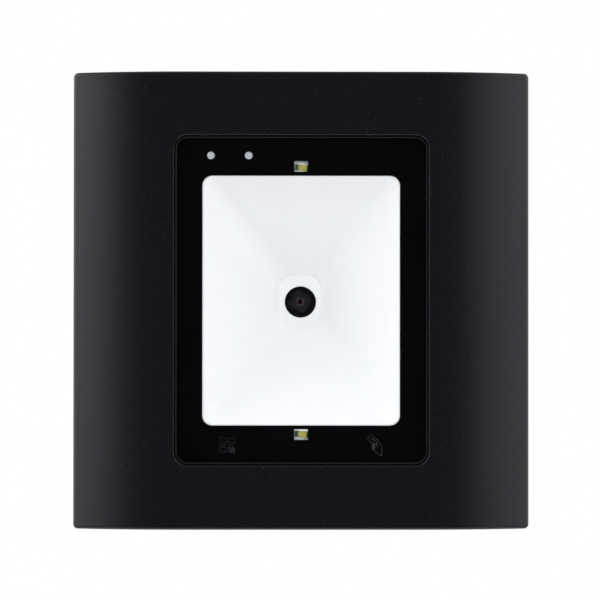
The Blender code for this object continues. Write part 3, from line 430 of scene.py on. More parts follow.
GREEN_BOARD = surface(
    "green_board", (0.010, 0.080, 0.035), (0.016, 0.120, 0.055), (0.35, 0.45), (0.6, 0.01)
)
LAMP_GREEN = surface(
    "lamp_green", (0.014, 0.170, 0.075), (0.026, 0.250, 0.115), (0.35, 0.45), (0.1, 0.004)
)
PHOSPHOR = surface(
    "led_phosphor", (0.33, 0.29, 0.050), (0.42, 0.37, 0.080), (0.45, 0.60), (0.12, 0.02), 0.8
)
COPPER = surface(
    "copper_end",
    (0.14, 0.09, 0.05),
    (0.36, 0.23, 0.14),
    (0.35, 0.50),
    (0.15, 0.01),
    0.6,
    Metallic=0.8,
)
LAMP_WHITE = surface(
    "lamp_white", (0.80, 0.83, 0.86), (0.86, 0.89, 0.92), (0.40, 0.50), (0.2, 0.004), 1.0
)
LAMP_RESIN = surface(
    "lamp_resin", (0.53, 0.57, 0.62), (0.58, 0.62, 0.67), (0.15, 0.22), (0.3, 0.002), 1.0
)
BARREL_BLACK = surface(
    "barrel_black",
    (0.0092, 0.0104, 0.0135),
    (0.0122, 0.0138, 0.0178),
    (0.50, 0.60),
    (0.15, 0.01),
    1.5,
    Specular_IOR_Level=0.08,
)
BARREL_RING = surface(
    "barrel_ring",
    (0.021, 0.023, 0.030),
    (0.029, 0.031, 0.040),
    (0.30, 0.38),
    (0.1, 0.004),
    0.8,
    Specular_IOR_Level=0.25,
)
LENS_EDGE = surface(
    "lens_glass",
    (0.006, 0.005, 0.008),
    (0.012, 0.010, 0.014),
    (0.05, 0.08),
    (0.8, 0.0005),
    0.7,
    Specular_IOR_Level=0.3,
)
# The red the lens coating shows in reflection, painted in as colour: a painted reflection.
PAINTED_COATING_REFLECTION = surface(
    "painted_coating_reflection",
    (0.046, 0.0065, 0.0110),
    (0.062, 0.0095, 0.0155),
    (0.03, 0.05),
    (0.8, 0.0005),
    0.7,
    Specular_IOR_Level=0.08,
)
# A black slit painted on the lens where its reflection is dark: a painted reflection.
PAINTED_DARK_SLIT = surface(
    "painted_dark_slit",
    (0.0010, 0.0010, 0.0014),
    (0.0022, 0.0022, 0.0028),
    (0.40, 0.50),
    (0.3, 0.001),
    0.7,
    Specular_IOR_Level=0.08,
)
# The holder's black, also laid on the barrel's deeper faces as painted shade.
HOLDER_BLACK_AND_PAINTED_SHADE = surface(
    "holder_black_and_painted_shade",
    (0.0060, 0.0060, 0.0082),
    (0.0085, 0.0085, 0.0115),
    (0.55, 0.65),
    (0.2, 0.02),
    1.5,
    Specular_IOR_Level=0.08,
)
CHIP_BLACK = surface(
    "chip_black", (0.012, 0.012, 0.013), (0.018, 0.018, 0.019), (0.40, 0.50), (0.08, 0.008)
)
CREAM_PLASTIC = surface(
    "connector_plastic", (0.66, 0.63, 0.54), (0.72, 0.69, 0.60), (0.40, 0.50), (0.2, 0.004)
)
AMBER = surface("amber_film", (0.30, 0.13, 0.02), (0.42, 0.19, 0.04), (0.25, 0.35), (0.6, 0.004))
GOLD = surface(
    "gold_contact", (0.80, 0.56, 0.22), (0.88, 0.64, 0.28), (0.18, 0.30), (0.2, 0.003), Metallic=1.0
)
BRASS = surface(
    "brass", (0.60, 0.43, 0.20), (0.74, 0.55, 0.27), (0.28, 0.42), (0.25, 0.006), 1.5, Metallic=1.0
)
STEEL = surface(
    "zinc_steel",
    (0.36, 0.36, 0.37),
    (0.50, 0.50, 0.50),
    (0.28, 0.42),
    (0.3, 0.006),
    1.2,
    Metallic=1.0,
)


# Front bezel. A rounded rectangle is (width, height, corner), and a depth is counted from the
# bezel's crown. RIM_LIP is (width, height), LEDGE is (width, depth of its front, of its back).
FLAT_HALF = 28.5
ARCH_DROP = 5.8
ARCH_STEPS = 24
FRONT_ROUND = 0.7
RIM_DEPTH = 11.2
WALL = 2.4
RIM_LIP = (4.5, 2.0)
WINDOW = (61.3, 79.4, 3.35)
WINDOW_PLACE = (0.0, 0.06)
WINDOW_CHAMFER = 0.14
LEDGE = (2.0, 3.2, 5.2)
COLLAR = (65.5, 83.5, 5.35)
EARS = corners(34.55, 28.0)
POSTS = corners(28.0, 24.0)
CASE_FIXINGS = corners(34.3, 46.75)
INSERTS = corners(47.6, 38.0)
PANEL_DEPTH = 12.5
BOARD_DEPTH = 32.5
OUTER_CORNER = 1.15
RIB = 1.2
RIB_SPACING = 13.0
RIB_DEPTH = 7.6
EAR_BOSS, EAR_HOLE = 5.0, 2.2
FIXING_BOSS, FIXING_HOLE, FIXING_BOSS_DEPTH = 5.4, 2.6, 8.0
INSERT_BOSS, INSERT_HOLE = 7.2, 4.6


def bend_back(bm, radius):
    """Bends a plate's front back along an arc of this radius at each side of the flat middle."""
    reach = max(v.co.x for v in bm.verts) - FLAT_HALF
    base = min(v.co.z for v in bm.verts)
    for step in range(ARCH_STEPS):
        over = radius * math.sin(math.asin(reach / radius) * step / ARCH_STEPS)
        for side in (-1, 1):
            bmesh.ops.bisect_plane(
                bm,
                geom=bm.verts[:] + bm.edges[:] + bm.faces[:],
                dist=0.0001,
                plane_co=(side * (FLAT_HALF + over), 0.0, 0.0),
                plane_no=(1.0, 0.0, 0.0),
            )
    for vert in bm.verts:
        over = max(abs(vert.co.x) - FLAT_HALF, 0.0)
        if vert.co.z > base + 0.001:
            vert.co.z -= radius - math.sqrt(radius**2 - over**2)
    return bm


def make_bezel():
    space = room("front_bezel")
    width, height = space.width, space.height
    reach = width / 2 - FLAT_HALF
    radius = (reach**2 + ARCH_DROP**2) / (2 * ARCH_DROP)
    body = slab(width, height, OUTER_CORNER, level(RIM_DEPTH), level(0.0))
    round_off(body, edges_at(body, level(0.0)), FRONT_ROUND, 5)
    bend_back(body, radius)

    lip_width, lip_height = RIM_LIP
    lip = level(RIM_DEPTH - lip_height)
    cavity = slab(width - 2 * WALL, height - 2 * WALL, 0.0, lip, level(WALL))
    bend_back(cavity, radius - WALL)
    mouth = slab(
        width - 2 * lip_width,
        height - 2 * lip_width,
        OUTER_CORNER,
        level(RIM_DEPTH) - OVERSHOOT,
        lip + OVERSHOOT,
    )
    collar = slab(*COLLAR, level(LEDGE[2]), level(-OVERSHOOT))
    ribs = []
    for sign in (-1, 1):
        for row in (-1, 0, 1):
            start, end = COLLAR[0] / 2 + 0.5, width / 2 - WALL + OVERSHOOT
            place = (sign * (start + end) / 2, row * RIB_SPACING)
            ribs.append(slab(end - start, RIB, 0.0, level(RIB_DEPTH), level(0.0), place))
        for column in (-1, 1):
            start, end = COLLAR[1] / 2 + 0.5, height / 2 - WALL + OVERSHOOT
            place = (column * RIB_SPACING, sign * (start + end) / 2)
            ribs.append(slab(RIB, end - start, 0.0, level(RIB_DEPTH), level(0.0), place))
    cavity = carve(
        cavity,
        ("UNION", mouth),
        ("DIFFERENCE", collar),
        ("DIFFERENCE", together(*ribs)),
        ("DIFFERENCE", rods(EAR_BOSS, level(LEDGE[2]), level(-OVERSHOOT), EARS)),
        (
            "DIFFERENCE",
            rods(FIXING_BOSS, level(FIXING_BOSS_DEPTH), level(-OVERSHOOT), CASE_FIXINGS),
        ),
        ("DIFFERENCE", rods(INSERT_BOSS, level(PANEL_DEPTH), level(-OVERSHOOT), INSERTS)),
    )
    pocket = slab(*WINDOW, level(LEDGE[1]), level(-OVERSHOOT), WINDOW_PLACE)
    wide = grown(WINDOW, 2 * WINDOW_CHAMFER)
    flare = taper(slab(*wide, level(WINDOW_CHAMFER), level(-WINDOW_CHAMFER)), wide, WINDOW)
    bmesh.ops.translate(flare, vec=(*WINDOW_PLACE, 0.0), verts=flare.verts)
    opening = slab(
        *grown(WINDOW, -LEDGE[0]), level(LEDGE[2]) - OVERSHOOT, level(LEDGE[1]) + OVERSHOOT
    )
    holes = together(
        rods(EAR_HOLE, level(LEDGE[2]) - OVERSHOOT, level(2.2), EARS, 24),
        rods(
            FIXING_HOLE, level(FIXING_BOSS_DEPTH) - OVERSHOOT, level(3.3), CASE_FIXINGS, 24
        ),
        rods(INSERT_HOLE, level(PANEL_DEPTH) - OVERSHOOT, level(6.9), INSERTS, 32),
    )
    body = carve(
        body,
        ("DIFFERENCE", cavity),
        ("DIFFERENCE", pocket),
        ("DIFFERENCE", flare),
        ("DIFFERENCE", opening),
        ("DIFFERENCE", holes),
    )
    piece("front_bezel", body, BEZEL_BLACK, "bezel_plastic", "front_bezel")


# Window glass, its printed film and the prints on it
GLASS_SIZE = (60.38, 78.4, 2.95)
GLASS_PLACE = (0.0, 0.075)
GLASS_CHAMFER = 0.23


def make_glass():
    """The cover glass, with a fine ground chamfer round its front."""
    space = room("window_glass")
    bm = slab(*GLASS_SIZE, space.bottom, space.top, GLASS_PLACE)
    round_off(bm, edges_at(bm, space.top), GLASS_CHAMFER, 1)
    for face in bm.faces:
        face.material_index = 1 if 0.1 < abs(face.normal.z) < 0.9 else 0
    round_off(bm, edges_at(bm, space.bottom), 0.08, 1)
    piece("window_glass", bm, [COVER_GLASS, GROUND_EDGE], "window_glass", "window_glass")


APERTURE = (47.48, 60.02, 2.4)
APERTURE_PLACE = (-0.05, 0.0)
LED_WINDOW = (3.3, 2.54)
LED_WINDOW_PLACES = [(-0.07, 32.28), (-0.07, -32.18)]
STATUS_PLACES = [(-21.76, 34.86), (-12.68, 34.86)]
STATUS_HOLE = 1.81


def make_film():
    space = room("mask_film")
    low, high = space.bottom - OVERSHOOT, space.top + OVERSHOOT
    fields = together(
        slab(*APERTURE, low, high, APERTURE_PLACE),
        *[slab(*LED_WINDOW, 0.12, low, high, place) for place in LED_WINDOW_PLACES],
        rods(STATUS_HOLE, low, high, STATUS_PLACES),
    )
    sheet = slab(*grown(GLASS_SIZE, -0.05), space.bottom, space.top, GLASS_PLACE)
    film = carve(sheet, ("DIFFERENCE", fields))
    piece("mask_film", film, BLACK_PRINT, "black_print", "mask_film")


PRINT_FILM = 0.02
PRINT_LINE = 0.09


def make_code_sign():
    """A small sign for two-dimensional codes: three open squares, dividers and a chequer."""
    front = room("mask_film").top
    low, high = front + PRINT_FILM, front + 2 * PRINT_FILM
    cx, cy = -17.79, -34.74
    across, up, size, dot = 1.095, 1.135, 1.42, 0.37
    shapes = []
    for side, end in ((-1, 1), (1, 1), (-1, -1)):
        place = (cx + side * across, cy + end * up)
        square = slab(size, size, 0.22, low, high, place)
        inside = size - 2 * PRINT_LINE
        shapes.append(
            carve(square, ("DIFFERENCE", slab(inside, inside, 0.12, low - 1, high + 1, place)))
        )
    for end in (-1, 1):
        shapes.append(slab(PRINT_LINE, 1.2, 0.0, low, high, (cx, cy + end * up)))
    shapes.append(slab(3.1, PRINT_LINE, 0.0, low, high, (cx, cy)))
    shapes = [painted(shape, 1) for shape in shapes]
    for i in range(4):
        for j in range(4):
            if (i + j) % 2:
                place = (cx + across + (i - 1.5) * dot, cy - up + (j - 1.5) * dot)
                shapes.append(slab(0.68 * dot, 0.68 * dot, 0.0, low, high, place))
    piece("code_sign", together(*shapes), [GREY_PRINT, FAINT_PRINT], "black_print")


CARD = (2.43, 1.38)
CARD_PLACE = (17.17, -33.45)
CARD_TILT = math.radians(-34.4)
HAND_LINES = [
    [(18.61, -34.08), (19.39, -34.88), (19.31, -36.90), (19.05, -37.28), (17.08, -35.70)],
    [(17.08, -35.70), (16.98, -35.22), (17.08, -34.69), (17.32, -34.28)],
    [(17.62, -34.83), (17.71, -35.36), (17.42, -35.79)],
    [(17.62, -34.28), (18.11, -34.52), (18.42, -35.29)],
]


def printed_line(start, end, width, low, high):
    """A printed stroke between two points, with its ends a little past them."""
    run = Vector(end) - Vector(start)
    middle = (Vector(end) + Vector(start)) / 2
    line = slab(run.length + 0.7 * width, width, 0.3 * width, low, high)
    turn = Matrix.Rotation(math.atan2(run.y, run.x), 4, "Z")
    line.transform(Matrix.Translation((*middle, 0.0)) @ turn)
    return line


def make_card_sign():
    """A small sign for cards: a tilted card with a stripe, held between thumb and palm."""
    front = room("mask_film").top
    low, high = front + PRINT_FILM, front + 2 * PRINT_FILM
    inside = [side - 2 * PRINT_LINE for side in CARD]
    card = carve(
        slab(*CARD, 0.22, low, high), ("DIFFERENCE", slab(*inside, 0.1, low - 1, high + 1))
    )
    card.transform(Matrix.Translation((*CARD_PLACE, 0.0)) @ Matrix.Rotation(CARD_TILT, 4, "Z"))
    shapes = [card, printed_line((16.75, -33.12), (17.87, -33.73), 0.14, low, high)]
    for line in HAND_LINES:
        for start, end in zip(line, line[1:]):
            low, high = low + 0.001, high + 0.001
            shapes.append(printed_line(start, end, PRINT_LINE, low, high))
    shapes.append(rods(0.30, low + 0.001, high + 0.001, [(18.11, -34.52)], 12))
    shapes.append(printed_line((17.35, -34.70), (17.34, -35.50), 0.34, low, high))
    piece("card_sign", together(*shapes), WARM_PRINT, "black_print")


# Light funnel. BOWL above 1 bows its walls outward, and FLANGE_DEPTHS is (back, front).
MOUTH_DEPTH = 2.2
FLOOR_DEPTH = 25.7
DISH_DEPTH = 26.5
MOUTH = (46.8, 59.4, 2.2)
FLOOR = (11.7, 14.4, 4.1)
DISH = (10.4, 13.1, 3.4)
BOWL = 1.15
BOWL_STEPS = 8
FLANGE = (65.5, 83.5, 3.35)
FLANGE_DEPTHS = (7.0, 5.5)
LIP = (48.8, 61.4, 3.0)
BEAD = (49.4, 62.58, 3.5)
BEAD_PLACE = (0.0, -0.09)
BEAD_HEIGHT = 0.9
FUNNEL_WALL = 1.3
CAMERA_HOLE = 7.74
CAMERA_HOLE_PLACE = (0.05, -0.07)
POST, POST_HOLE = 5.0, 2.4
LAMP_TURN = math.radians(-6.0)
LAMP_PLACES = {"led_top": (0.05, 31.93), "led_bottom": (0.05, -32.08)}


def funnel_size(depth):
    """Width, height and corner of the funnel's inside at a depth, on walls that bow a little."""
    share = (depth - MOUTH_DEPTH) / (FLOOR_DEPTH - MOUTH_DEPTH)
    bowed = math.copysign(abs(share) ** BOWL, share)
    return tuple(a + bowed * (b - a) for a, b in zip(MOUTH, FLOOR))


def funnel_bowl(back, front, wall):
    """The funnel's inside between two depths, grown by a wall, as a solid of stacked rounds."""
    bm = slab(*MOUTH, level(back), level(front))
    for step in range(1, BOWL_STEPS):
        bmesh.ops.bisect_plane(
            bm,
            geom=bm.verts[:] + bm.edges[:] + bm.faces[:],
            dist=0.0001,
            plane_co=(0.0, 0.0, level(front + (back - front) * (step / BOWL_STEPS) ** 1.3)),
            plane_no=(0.0, 0.0, 1.0),
        )
    for vert in bm.verts:
        reshape(vert, MOUTH, grown(funnel_size(level(0.0) - vert.co.z), wall))
    return bm


def make_reflector():
    flange = [level(depth) for depth in FLANGE_DEPTHS]
    post_back = level(BOARD_DEPTH)
    floor_back = level(DISH_DEPTH + 0.7)
    lip = slab(*LIP, flange[0], level(MOUTH_DEPTH))
    bead = slab(*BEAD, level(MOUTH_DEPTH + BEAD_HEIGHT), level(MOUTH_DEPTH), BEAD_PLACE)
    round_off(bead, edges_at(bead, level(MOUTH_DEPTH)), 0.10, 2)
    notches = []
    for place in LAMP_PLACES.values():
        notch = slab(3.3, 1.56, 0.0, level(MOUTH_DEPTH + 1.0), level(MOUTH_DEPTH - 0.1))
        turn = Matrix.Rotation(LAMP_TURN, 4, "Z")
        notch.transform(Matrix.Translation((*place, 0.0)) @ turn)
        notches.append(notch)
    hollow = funnel_bowl(FLOOR_DEPTH, MOUTH_DEPTH - OVERSHOOT, 0.0)
    dish = taper(slab(*FLOOR, level(DISH_DEPTH), level(FLOOR_DEPTH - 0.1)), FLOOR, DISH)
    round_off(dish, edges_at(dish, level(DISH_DEPTH)), 0.3, 3)
    floor = level(DISH_DEPTH)
    places = [CAMERA_HOLE_PLACE]
    hole = rods(CAMERA_HOLE, floor_back - OVERSHOOT, floor + OVERSHOOT, places)
    flare = rods(CAMERA_HOLE, floor - 0.2, floor + 0.2, places, tip=CAMERA_HOLE + 0.8)
    reflector = carve(
        lip,
        ("UNION", carve(bead, ("DIFFERENCE", together(*notches)))),
        ("UNION", slab(*FLANGE, *flange)),
        ("UNION", together(*[slab(7.0, 7.0, 1.75, *flange, place) for place in EARS])),
        ("UNION", funnel_bowl(DISH_DEPTH + 0.7, FLANGE_DEPTHS[1], FUNNEL_WALL)),
        ("UNION", rods(POST, post_back, flange[1], POSTS, 32)),
        ("DIFFERENCE", hollow),
        ("DIFFERENCE", dish),
        ("DIFFERENCE", hole),
        ("DIFFERENCE", flare),
        ("DIFFERENCE", slab(6.0, 1.3, 0.0, flange[0] - 1, flange[1] + 1, (12.0, 34.5))),
        (
            "DIFFERENCE",
            together(
                rods(EAR_HOLE, flange[0] - 1, flange[1] + 1, EARS, 24),
                rods(POST_HOLE, post_back - 1, level(27.4), POSTS, 24),
            ),
        ),
    )
    piece("reflector", reflector, FUNNEL_WHITE, "white_plastic", "reflector")


# Lamp board and lamps, which stand a little nearer the glass than their solids
BOARD_RISE = 0.5
LAMP_RISE = 0.2
STATUS_RISE = 0.15


def make_lamp_board():
    space = room("led_board")
    front = space.top + BOARD_RISE
    board = carve(
        slab(space.width, space.height, 1.35, space.bottom, front),
        ("DIFFERENCE", slab(49.4, 62.0, 3.3, space.bottom - 1, front + 1)),
    )
    prints = rods(2.7, front + 0.01, front + 0.03, [(-0.1, up) for _, up in LAMP_PLACES.values()])
    whole = together(painted(board, 0), painted(prints, 1))
    piece("led_board", whole, [BOARD_WHITE, BOARD_PRINT], "white_board", "led_board")


def make_lamp(name):
    """A chip lamp: copper ends, a green base and a block of phosphor."""
    space = room(name)
    bottom, top = space.bottom + LAMP_RISE, space.top + LAMP_RISE / 2
    base = top - 0.2
    shapes = [
        painted(slab(0.42, 1.42, 0.0, bottom, base - 0.05, (-1.36, 0.0)), 1),
        painted(slab(0.18, 1.42, 0.0, bottom, base - 0.05, (1.51, 0.0)), 1),
        painted(slab(2.54, 1.5, 0.0, bottom, base, (0.14, 0.0)), 0),
        painted(slab(1.95, 1.5, 0.0, base + 0.01, top, (0.22, 0.0)), 2),
    ]
    lamp = together(*[round_off(shape, shape.edges[:], 0.03, 1) for shape in shapes])
    turn = Matrix.Rotation(LAMP_TURN, 4, "Z")
    lamp.transform(Matrix.Translation((*LAMP_PLACES[name], 0.0)) @ turn)
    piece(name, lamp, [LAMP_GREEN, COPPER, PHOSPHOR], "led_phosphor", name)


def make_status_lamp(name, place):
    """A small indicator lamp: a white body with a shallow cup of milky resin."""
    space = room(name)
    base = space.bottom + 0.6
    body = slab(space.width, space.height, 0.15, space.bottom, base, place)
    rim = space.top + STATUS_RISE
    cup = [
        (0.0, base - 0.3),
        (1.05, base - 0.3),
        (1.05, rim - 0.1),
        (1.0, rim),
        (0.78, rim),
        (0.72, rim - 0.12),
        (0.0, rim - 0.12),
    ]
    lens = [
        (0.0, rim - 0.04),
        (0.4, rim - 0.05),
        (0.70, rim - 0.08),
        (0.70, rim - 0.11),
        (0.0, rim - 0.11),
    ]
    lamp = carve(body, ("UNION", lathe(cup, place)))
    lamp = together(painted(lamp, 0), painted(lathe(lens, place), 1))
    piece(name, lamp, [LAMP_WHITE, LAMP_RESIN], "status_lens", name)


# Camera. BARREL_FLATS is measured across two flats, BARREL_COLLAR and PUPIL are radii, and the
# last is the (half width, radius) of a black slit painted on the lens where its reflection is dark.
BARREL_FLATS = 4.5
BARREL_COLLAR = 2.75
BARREL_TURN = math.radians(-32.0)
PUPIL = 0.66
DARK_SLIT_SIZE = (0.23, 0.60)


def make_barrel():
    """The lens barrel: a face cut to four flats, a mouth that narrows to the lens, and painted
    shade below its face.
    """
    space = room("lens_barrel")
    lens = room("lens_element")
    top, bottom = space.top, space.bottom
    bore = lens.width / 2 + 0.03
    shoulder = top - 0.85
    profile = [
        (bore, lens.bottom - 0.1),
        (bore, lens.top + 0.05),
        (PUPIL, lens.top + 0.05),
        (PUPIL, top - 0.26),
        (1.10, top - 0.04),
        (1.13, top),
        (BARREL_COLLAR - 0.06, top),
        (BARREL_COLLAR, top - 0.06),
        (BARREL_COLLAR, bottom),
        (0.6, bottom),
        (0.6, lens.bottom - 0.1),
    ]
    keep = slab(BARREL_FLATS, BARREL_FLATS, 0.0, shoulder - 0.1, top + OVERSHOOT)
    keep.transform(Matrix.Rotation(BARREL_TURN, 4, "Z"))
    keep = carve(keep, ("UNION", rods(9.0, bottom - OVERSHOOT, shoulder - 0.05, [(0.0, 0.0)])))
    barrel = carve(lathe(profile), ("INTERSECT", keep))
    for face in barrel.faces:
        middle = face.calc_center_median()
        inside = math.hypot(middle.x, middle.y) < 1.14 and middle.z > top - 0.27
        face.material_index = 1 if inside and face.normal.z < 0.98 else 0
        # Faces below the face take the darker holder finish as painted shade.
        if middle.z < top - 0.3:
            face.material_index = 2
    finishes = [BARREL_BLACK, BARREL_RING, HOLDER_BLACK_AND_PAINTED_SHADE]
    piece("lens_barrel", barrel, finishes, "barrel_black", "lens_barrel")


def make_lens():
    """The front lens: a dome with the red its coating shows in reflection painted on the pupil,
    round a black slit painted where its reflection is dark.
    """
    space = room("lens_element")
    radius = space.width / 2
    rise = 0.3
    ball = (radius**2 + rise**2) / (2 * rise)
    steps = [0.0, 0.15, 0.3, 0.45, DARK_SLIT_SIZE[1], PUPIL, 0.74, 0.82, radius]
    dome = [(x, space.top - ball + math.sqrt(ball**2 - x**2)) for x in steps]
    lens = lathe([*dome, (radius, space.bottom), (0.0, space.bottom)])
    for side in (-1, 1):
        bmesh.ops.bisect_plane(
            lens,
            geom=lens.verts[:] + lens.edges[:] + lens.faces[:],
            dist=0.0001,
            plane_co=(side * DARK_SLIT_SIZE[0], 0.0, 0.0),
            plane_no=(1.0, 0.0, 0.0),
        )
    # Painted reflection: red on the pupil, and black on the slit where the reflection is dark.
    for face in lens.faces:
        middle = face.calc_center_median()
        away = math.hypot(middle.x, middle.y)
        face.material_index = 1 if away < PUPIL else 0
        if abs(middle.x) < DARK_SLIT_SIZE[0] and away < DARK_SLIT_SIZE[1]:
            face.material_index = 2
    piece("lens_element", lens, [LENS_EDGE, PAINTED_COATING_REFLECTION, PAINTED_DARK_SLIT], "lens_glass", "lens_element")


# Rear case, its socket and what is fixed to it
CASE_BODY = (80.6, 88.0, 4.0)
CASE_WALL = 2.0
CASE_FRONT = 8.3
CASE_FLANGE = (87.4, 99.0, 4.0)
CASE_FLANGE_BACK = 10.3
GASKET_WIDTH = 3.7
SOCKET_ACROSS = -12.0
SOCKET_FACE = -44.0


def make_case():
    back, wall, front = 0.0, CASE_WALL, level(CASE_FRONT)
    flange_back = level(CASE_FLANGE_BACK)
    body = slab(*CASE_BODY, back, front)
    round_off(body, edges_at(body, back), 1.5, 6)
    hollow = slab(76.6, 84.0, 2.0, wall, front + OVERSHOOT)
    slots = [
        slab(2.0, 18.0, 0.999, back - OVERSHOOT, wall + OVERSHOOT, ((i - 3) * 5.5, 26.0))
        for i in range(7)
    ]
    seat = level(BOARD_DEPTH)
    mouth_place = (SOCKET_ACROSS, SOCKET_FACE + 1.0)
    mouth = slab(16.6, wall + 2 * OVERSHOOT, 0.0, seat - 0.3, seat + 13.3, mouth_place)
    case = carve(
        body,
        ("UNION", slab(*CASE_FLANGE, flange_back, front)),
        ("DIFFERENCE", hollow),
        ("UNION", rods(5.0, wall / 2, level(34.7), corners(14.0, 36.0), 32)),
        ("DIFFERENCE", mouth),
        ("DIFFERENCE", together(*slots)),
        (
            "DIFFERENCE",
            together(
                rods(FIXING_HOLE, flange_back - 1, front + 1, CASE_FIXINGS, 32),
                rods(8.2, flange_back - 1, front + 1, INSERTS, 48),
            ),
        ),
    )
    piece("rear_case", case, CASE_BLACK, "case_plastic", "rear_case")


def make_gasket():
    space = room("panel_gasket")
    outline = (space.width, space.height)
    opening = [side - 2 * GASKET_WIDTH for side in outline]
    gasket = carve(
        slab(*outline, OUTER_CORNER, space.bottom, space.top),
        ("DIFFERENCE", slab(*opening, OUTER_CORNER, space.bottom - 1, space.top + 1)),
    )
    round_off(gasket, sharp_edges(gasket), 0.12, 2)
    piece("panel_gasket", gasket, FOAM, "black_foam", "panel_gasket")


def make_screw(name, shank, head_height):
    """A pan head screw with its head to the back, a cross recess and a ringed thread."""
    space = room(name)
    low, tip, head = space.bottom, space.top, space.width
    under = low + head_height
    pitch = 0.5
    turns = int((tip - under - 1.0) / pitch)
    profile = [(0.0, tip), (shank / 2 - 0.4, tip), (shank / 2, tip - 0.5)]
    for i in range(turns):
        crest = tip - 0.5 - i * pitch
        profile += [(shank / 2 - 0.22, crest - pitch / 2), (shank / 2, crest - pitch)]
    profile += [
        (shank / 2, under),
        (head / 2 - 0.05, under),
        (head / 2, under - 0.08),
        (head / 2, low + head_height * 0.55),
        (head / 2 - head_height * 0.18, low + head_height * 0.20),
        (head / 2 - head_height * 0.50, low + 0.03),
        (head / 2 - head_height * 0.75, low),
        (0.0, low),
    ]
    screw = lathe(profile, space.place, 40)
    arm, width, depth = head * 0.54, head * 0.13, head_height * 0.62
    for size in ((arm, width), (width, arm)):
        slot = slab(*size, 0.0, low - 1, low + depth, space.place)
        screw = carve(screw, ("DIFFERENCE", slot))
    pilot = rods(head * 0.16, low - 1, low + depth + 0.1, [space.place], 16)
    screw = carve(screw, ("DIFFERENCE", pilot))
    piece(name, screw, STEEL, "zinc_steel", name)


def make_insert(name):
    """A threaded brass insert with a grooved body and a flange at the back."""
    space = room(name)
    back, tip = space.bottom, space.top
    flange = back + 1.0
    profile = [
        (0.0, tip),
        (1.9, tip),
        (2.1, tip - 0.2),
        (2.1, tip - 1.5),
        (1.8, tip - 1.7),
        (1.8, tip - 2.1),
        (2.1, tip - 2.3),
        (2.1, flange),
        (2.72, flange),
        (2.8, flange - 0.08),
        (2.8, back + 0.10),
        (2.70, back),
        (1.55, back),
        (1.25, back + 0.3),
    ]
    for i in range(8):
        start = back + 0.3 + i * 0.5
        profile += [(1.42, start + 0.25), (1.25, start + 0.5)]
    profile += [(1.25, back + 4.5), (0.0, back + 4.5)]
    piece(name, lathe(profile, space.place, 48), BRASS, "brass", name)


def make_socket():
    """The modular cable socket, its outer edges eased, with a mouth for the plug."""
    seat = level(BOARD_DEPTH)
    floor, roof = seat + 1.8, seat + 8.8
    body_place = (SOCKET_ACROSS, SOCKET_FACE + 7.75)
    body = slab(16.0, 15.5, 0.0, seat, seat + 13.0, body_place)
    round_off(body, sharp_edges(body), 0.25, 2)
    place = (SOCKET_ACROSS, SOCKET_FACE + 5.75)
    plug = slab(11.8, 13.5, 0.0, floor, roof, place)
    latch = slab(6.0, 13.5, 0.0, roof - 1, roof + 2.8, place)
    key = slab(3.2, 13.5, 0.0, roof + 1.8, roof + 3.3, place)
    socket = carve(body, ("DIFFERENCE", plug), ("DIFFERENCE", latch), ("DIFFERENCE", key))
    piece("cable_socket", socket, CHIP_BLACK, "connector_plastic", "cable_socket")


CARRIED_OVER = {
    "glass_tape": FOAM,
    "card_antenna": GREEN_BOARD,
    "led_flex": AMBER,
    "flex_socket": CREAM_PLASTIC,
    "lens_holder": HOLDER_BLACK_AND_PAINTED_SHADE,
    "image_sensor": GREEN_BOARD,
    "main_board": GREEN_BOARD,
    "processor": CHIP_BLACK,
    "memory_chip": CHIP_BLACK,
    "buzzer": CHIP_BLACK,
    "socket_contacts": GOLD,
}


def dress_carried_over():
    for name, material in CARRIED_OVER.items():
        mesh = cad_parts[name].data
        for index in range(len(mesh.materials)):
            mesh.materials[index] = material


# Studio
CAMERA_DISTANCE = 0.8
CAMERA_YAW = math.radians(-0.68)
CAMERA_PITCH = math.radians(0.70)
CAMERA_ROLL = math.radians(0.04)
CAMERA_TARGET = Vector((-0.000357, -0.040, 0.000111))
CAMERA_LENS = 3335.9 / 600 * 36.0


def make_camera():
    data = bpy.data.cameras.new("camera")
    data.sensor_width = 36.0
    data.lens = CAMERA_LENS
    data.clip_end = 20.0
    camera = bpy.data.objects.new("camera", data)
    bpy.context.scene.collection.objects.link(camera)
    ahead = Vector(
        (
            -math.sin(CAMERA_YAW) * math.cos(CAMERA_PITCH),
            math.cos(CAMERA_YAW) * math.cos(CAMERA_PITCH),
            math.sin(CAMERA_PITCH),
        )
    )
    camera.location = CAMERA_TARGET - CAMERA_DISTANCE * ahead
    camera.rotation_mode = "QUATERNION"
    roll = Quaternion((0.0, 0.0, 1.0), CAMERA_ROLL)
    camera.rotation_quaternion = ahead.to_track_quat("-Z", "Y") @ roll
    bpy.context.scene.camera = camera


def make_floor():
    bm = bmesh.new()
    bmesh.ops.create_circle(bm, cap_ends=True, segments=96, radius=0.6)
    bmesh.ops.translate(bm, vec=(0.0, 0.0, -0.50), verts=bm.verts)
    mesh = bpy.data.meshes.new("floor")
    bm.to_mesh(mesh)
    bm.free()
    material, _, shader = blank("pale_floor")
    shader.inputs["Base Color"].default_value = (0.90, 0.90, 0.90, 1.0)
    shader.inputs["Roughness"].default_value = 0.9
    mesh.materials.append(material)
    floor = bpy.data.objects.new("floor", mesh)
    bpy.context.scene.collection.objects.link(floor)


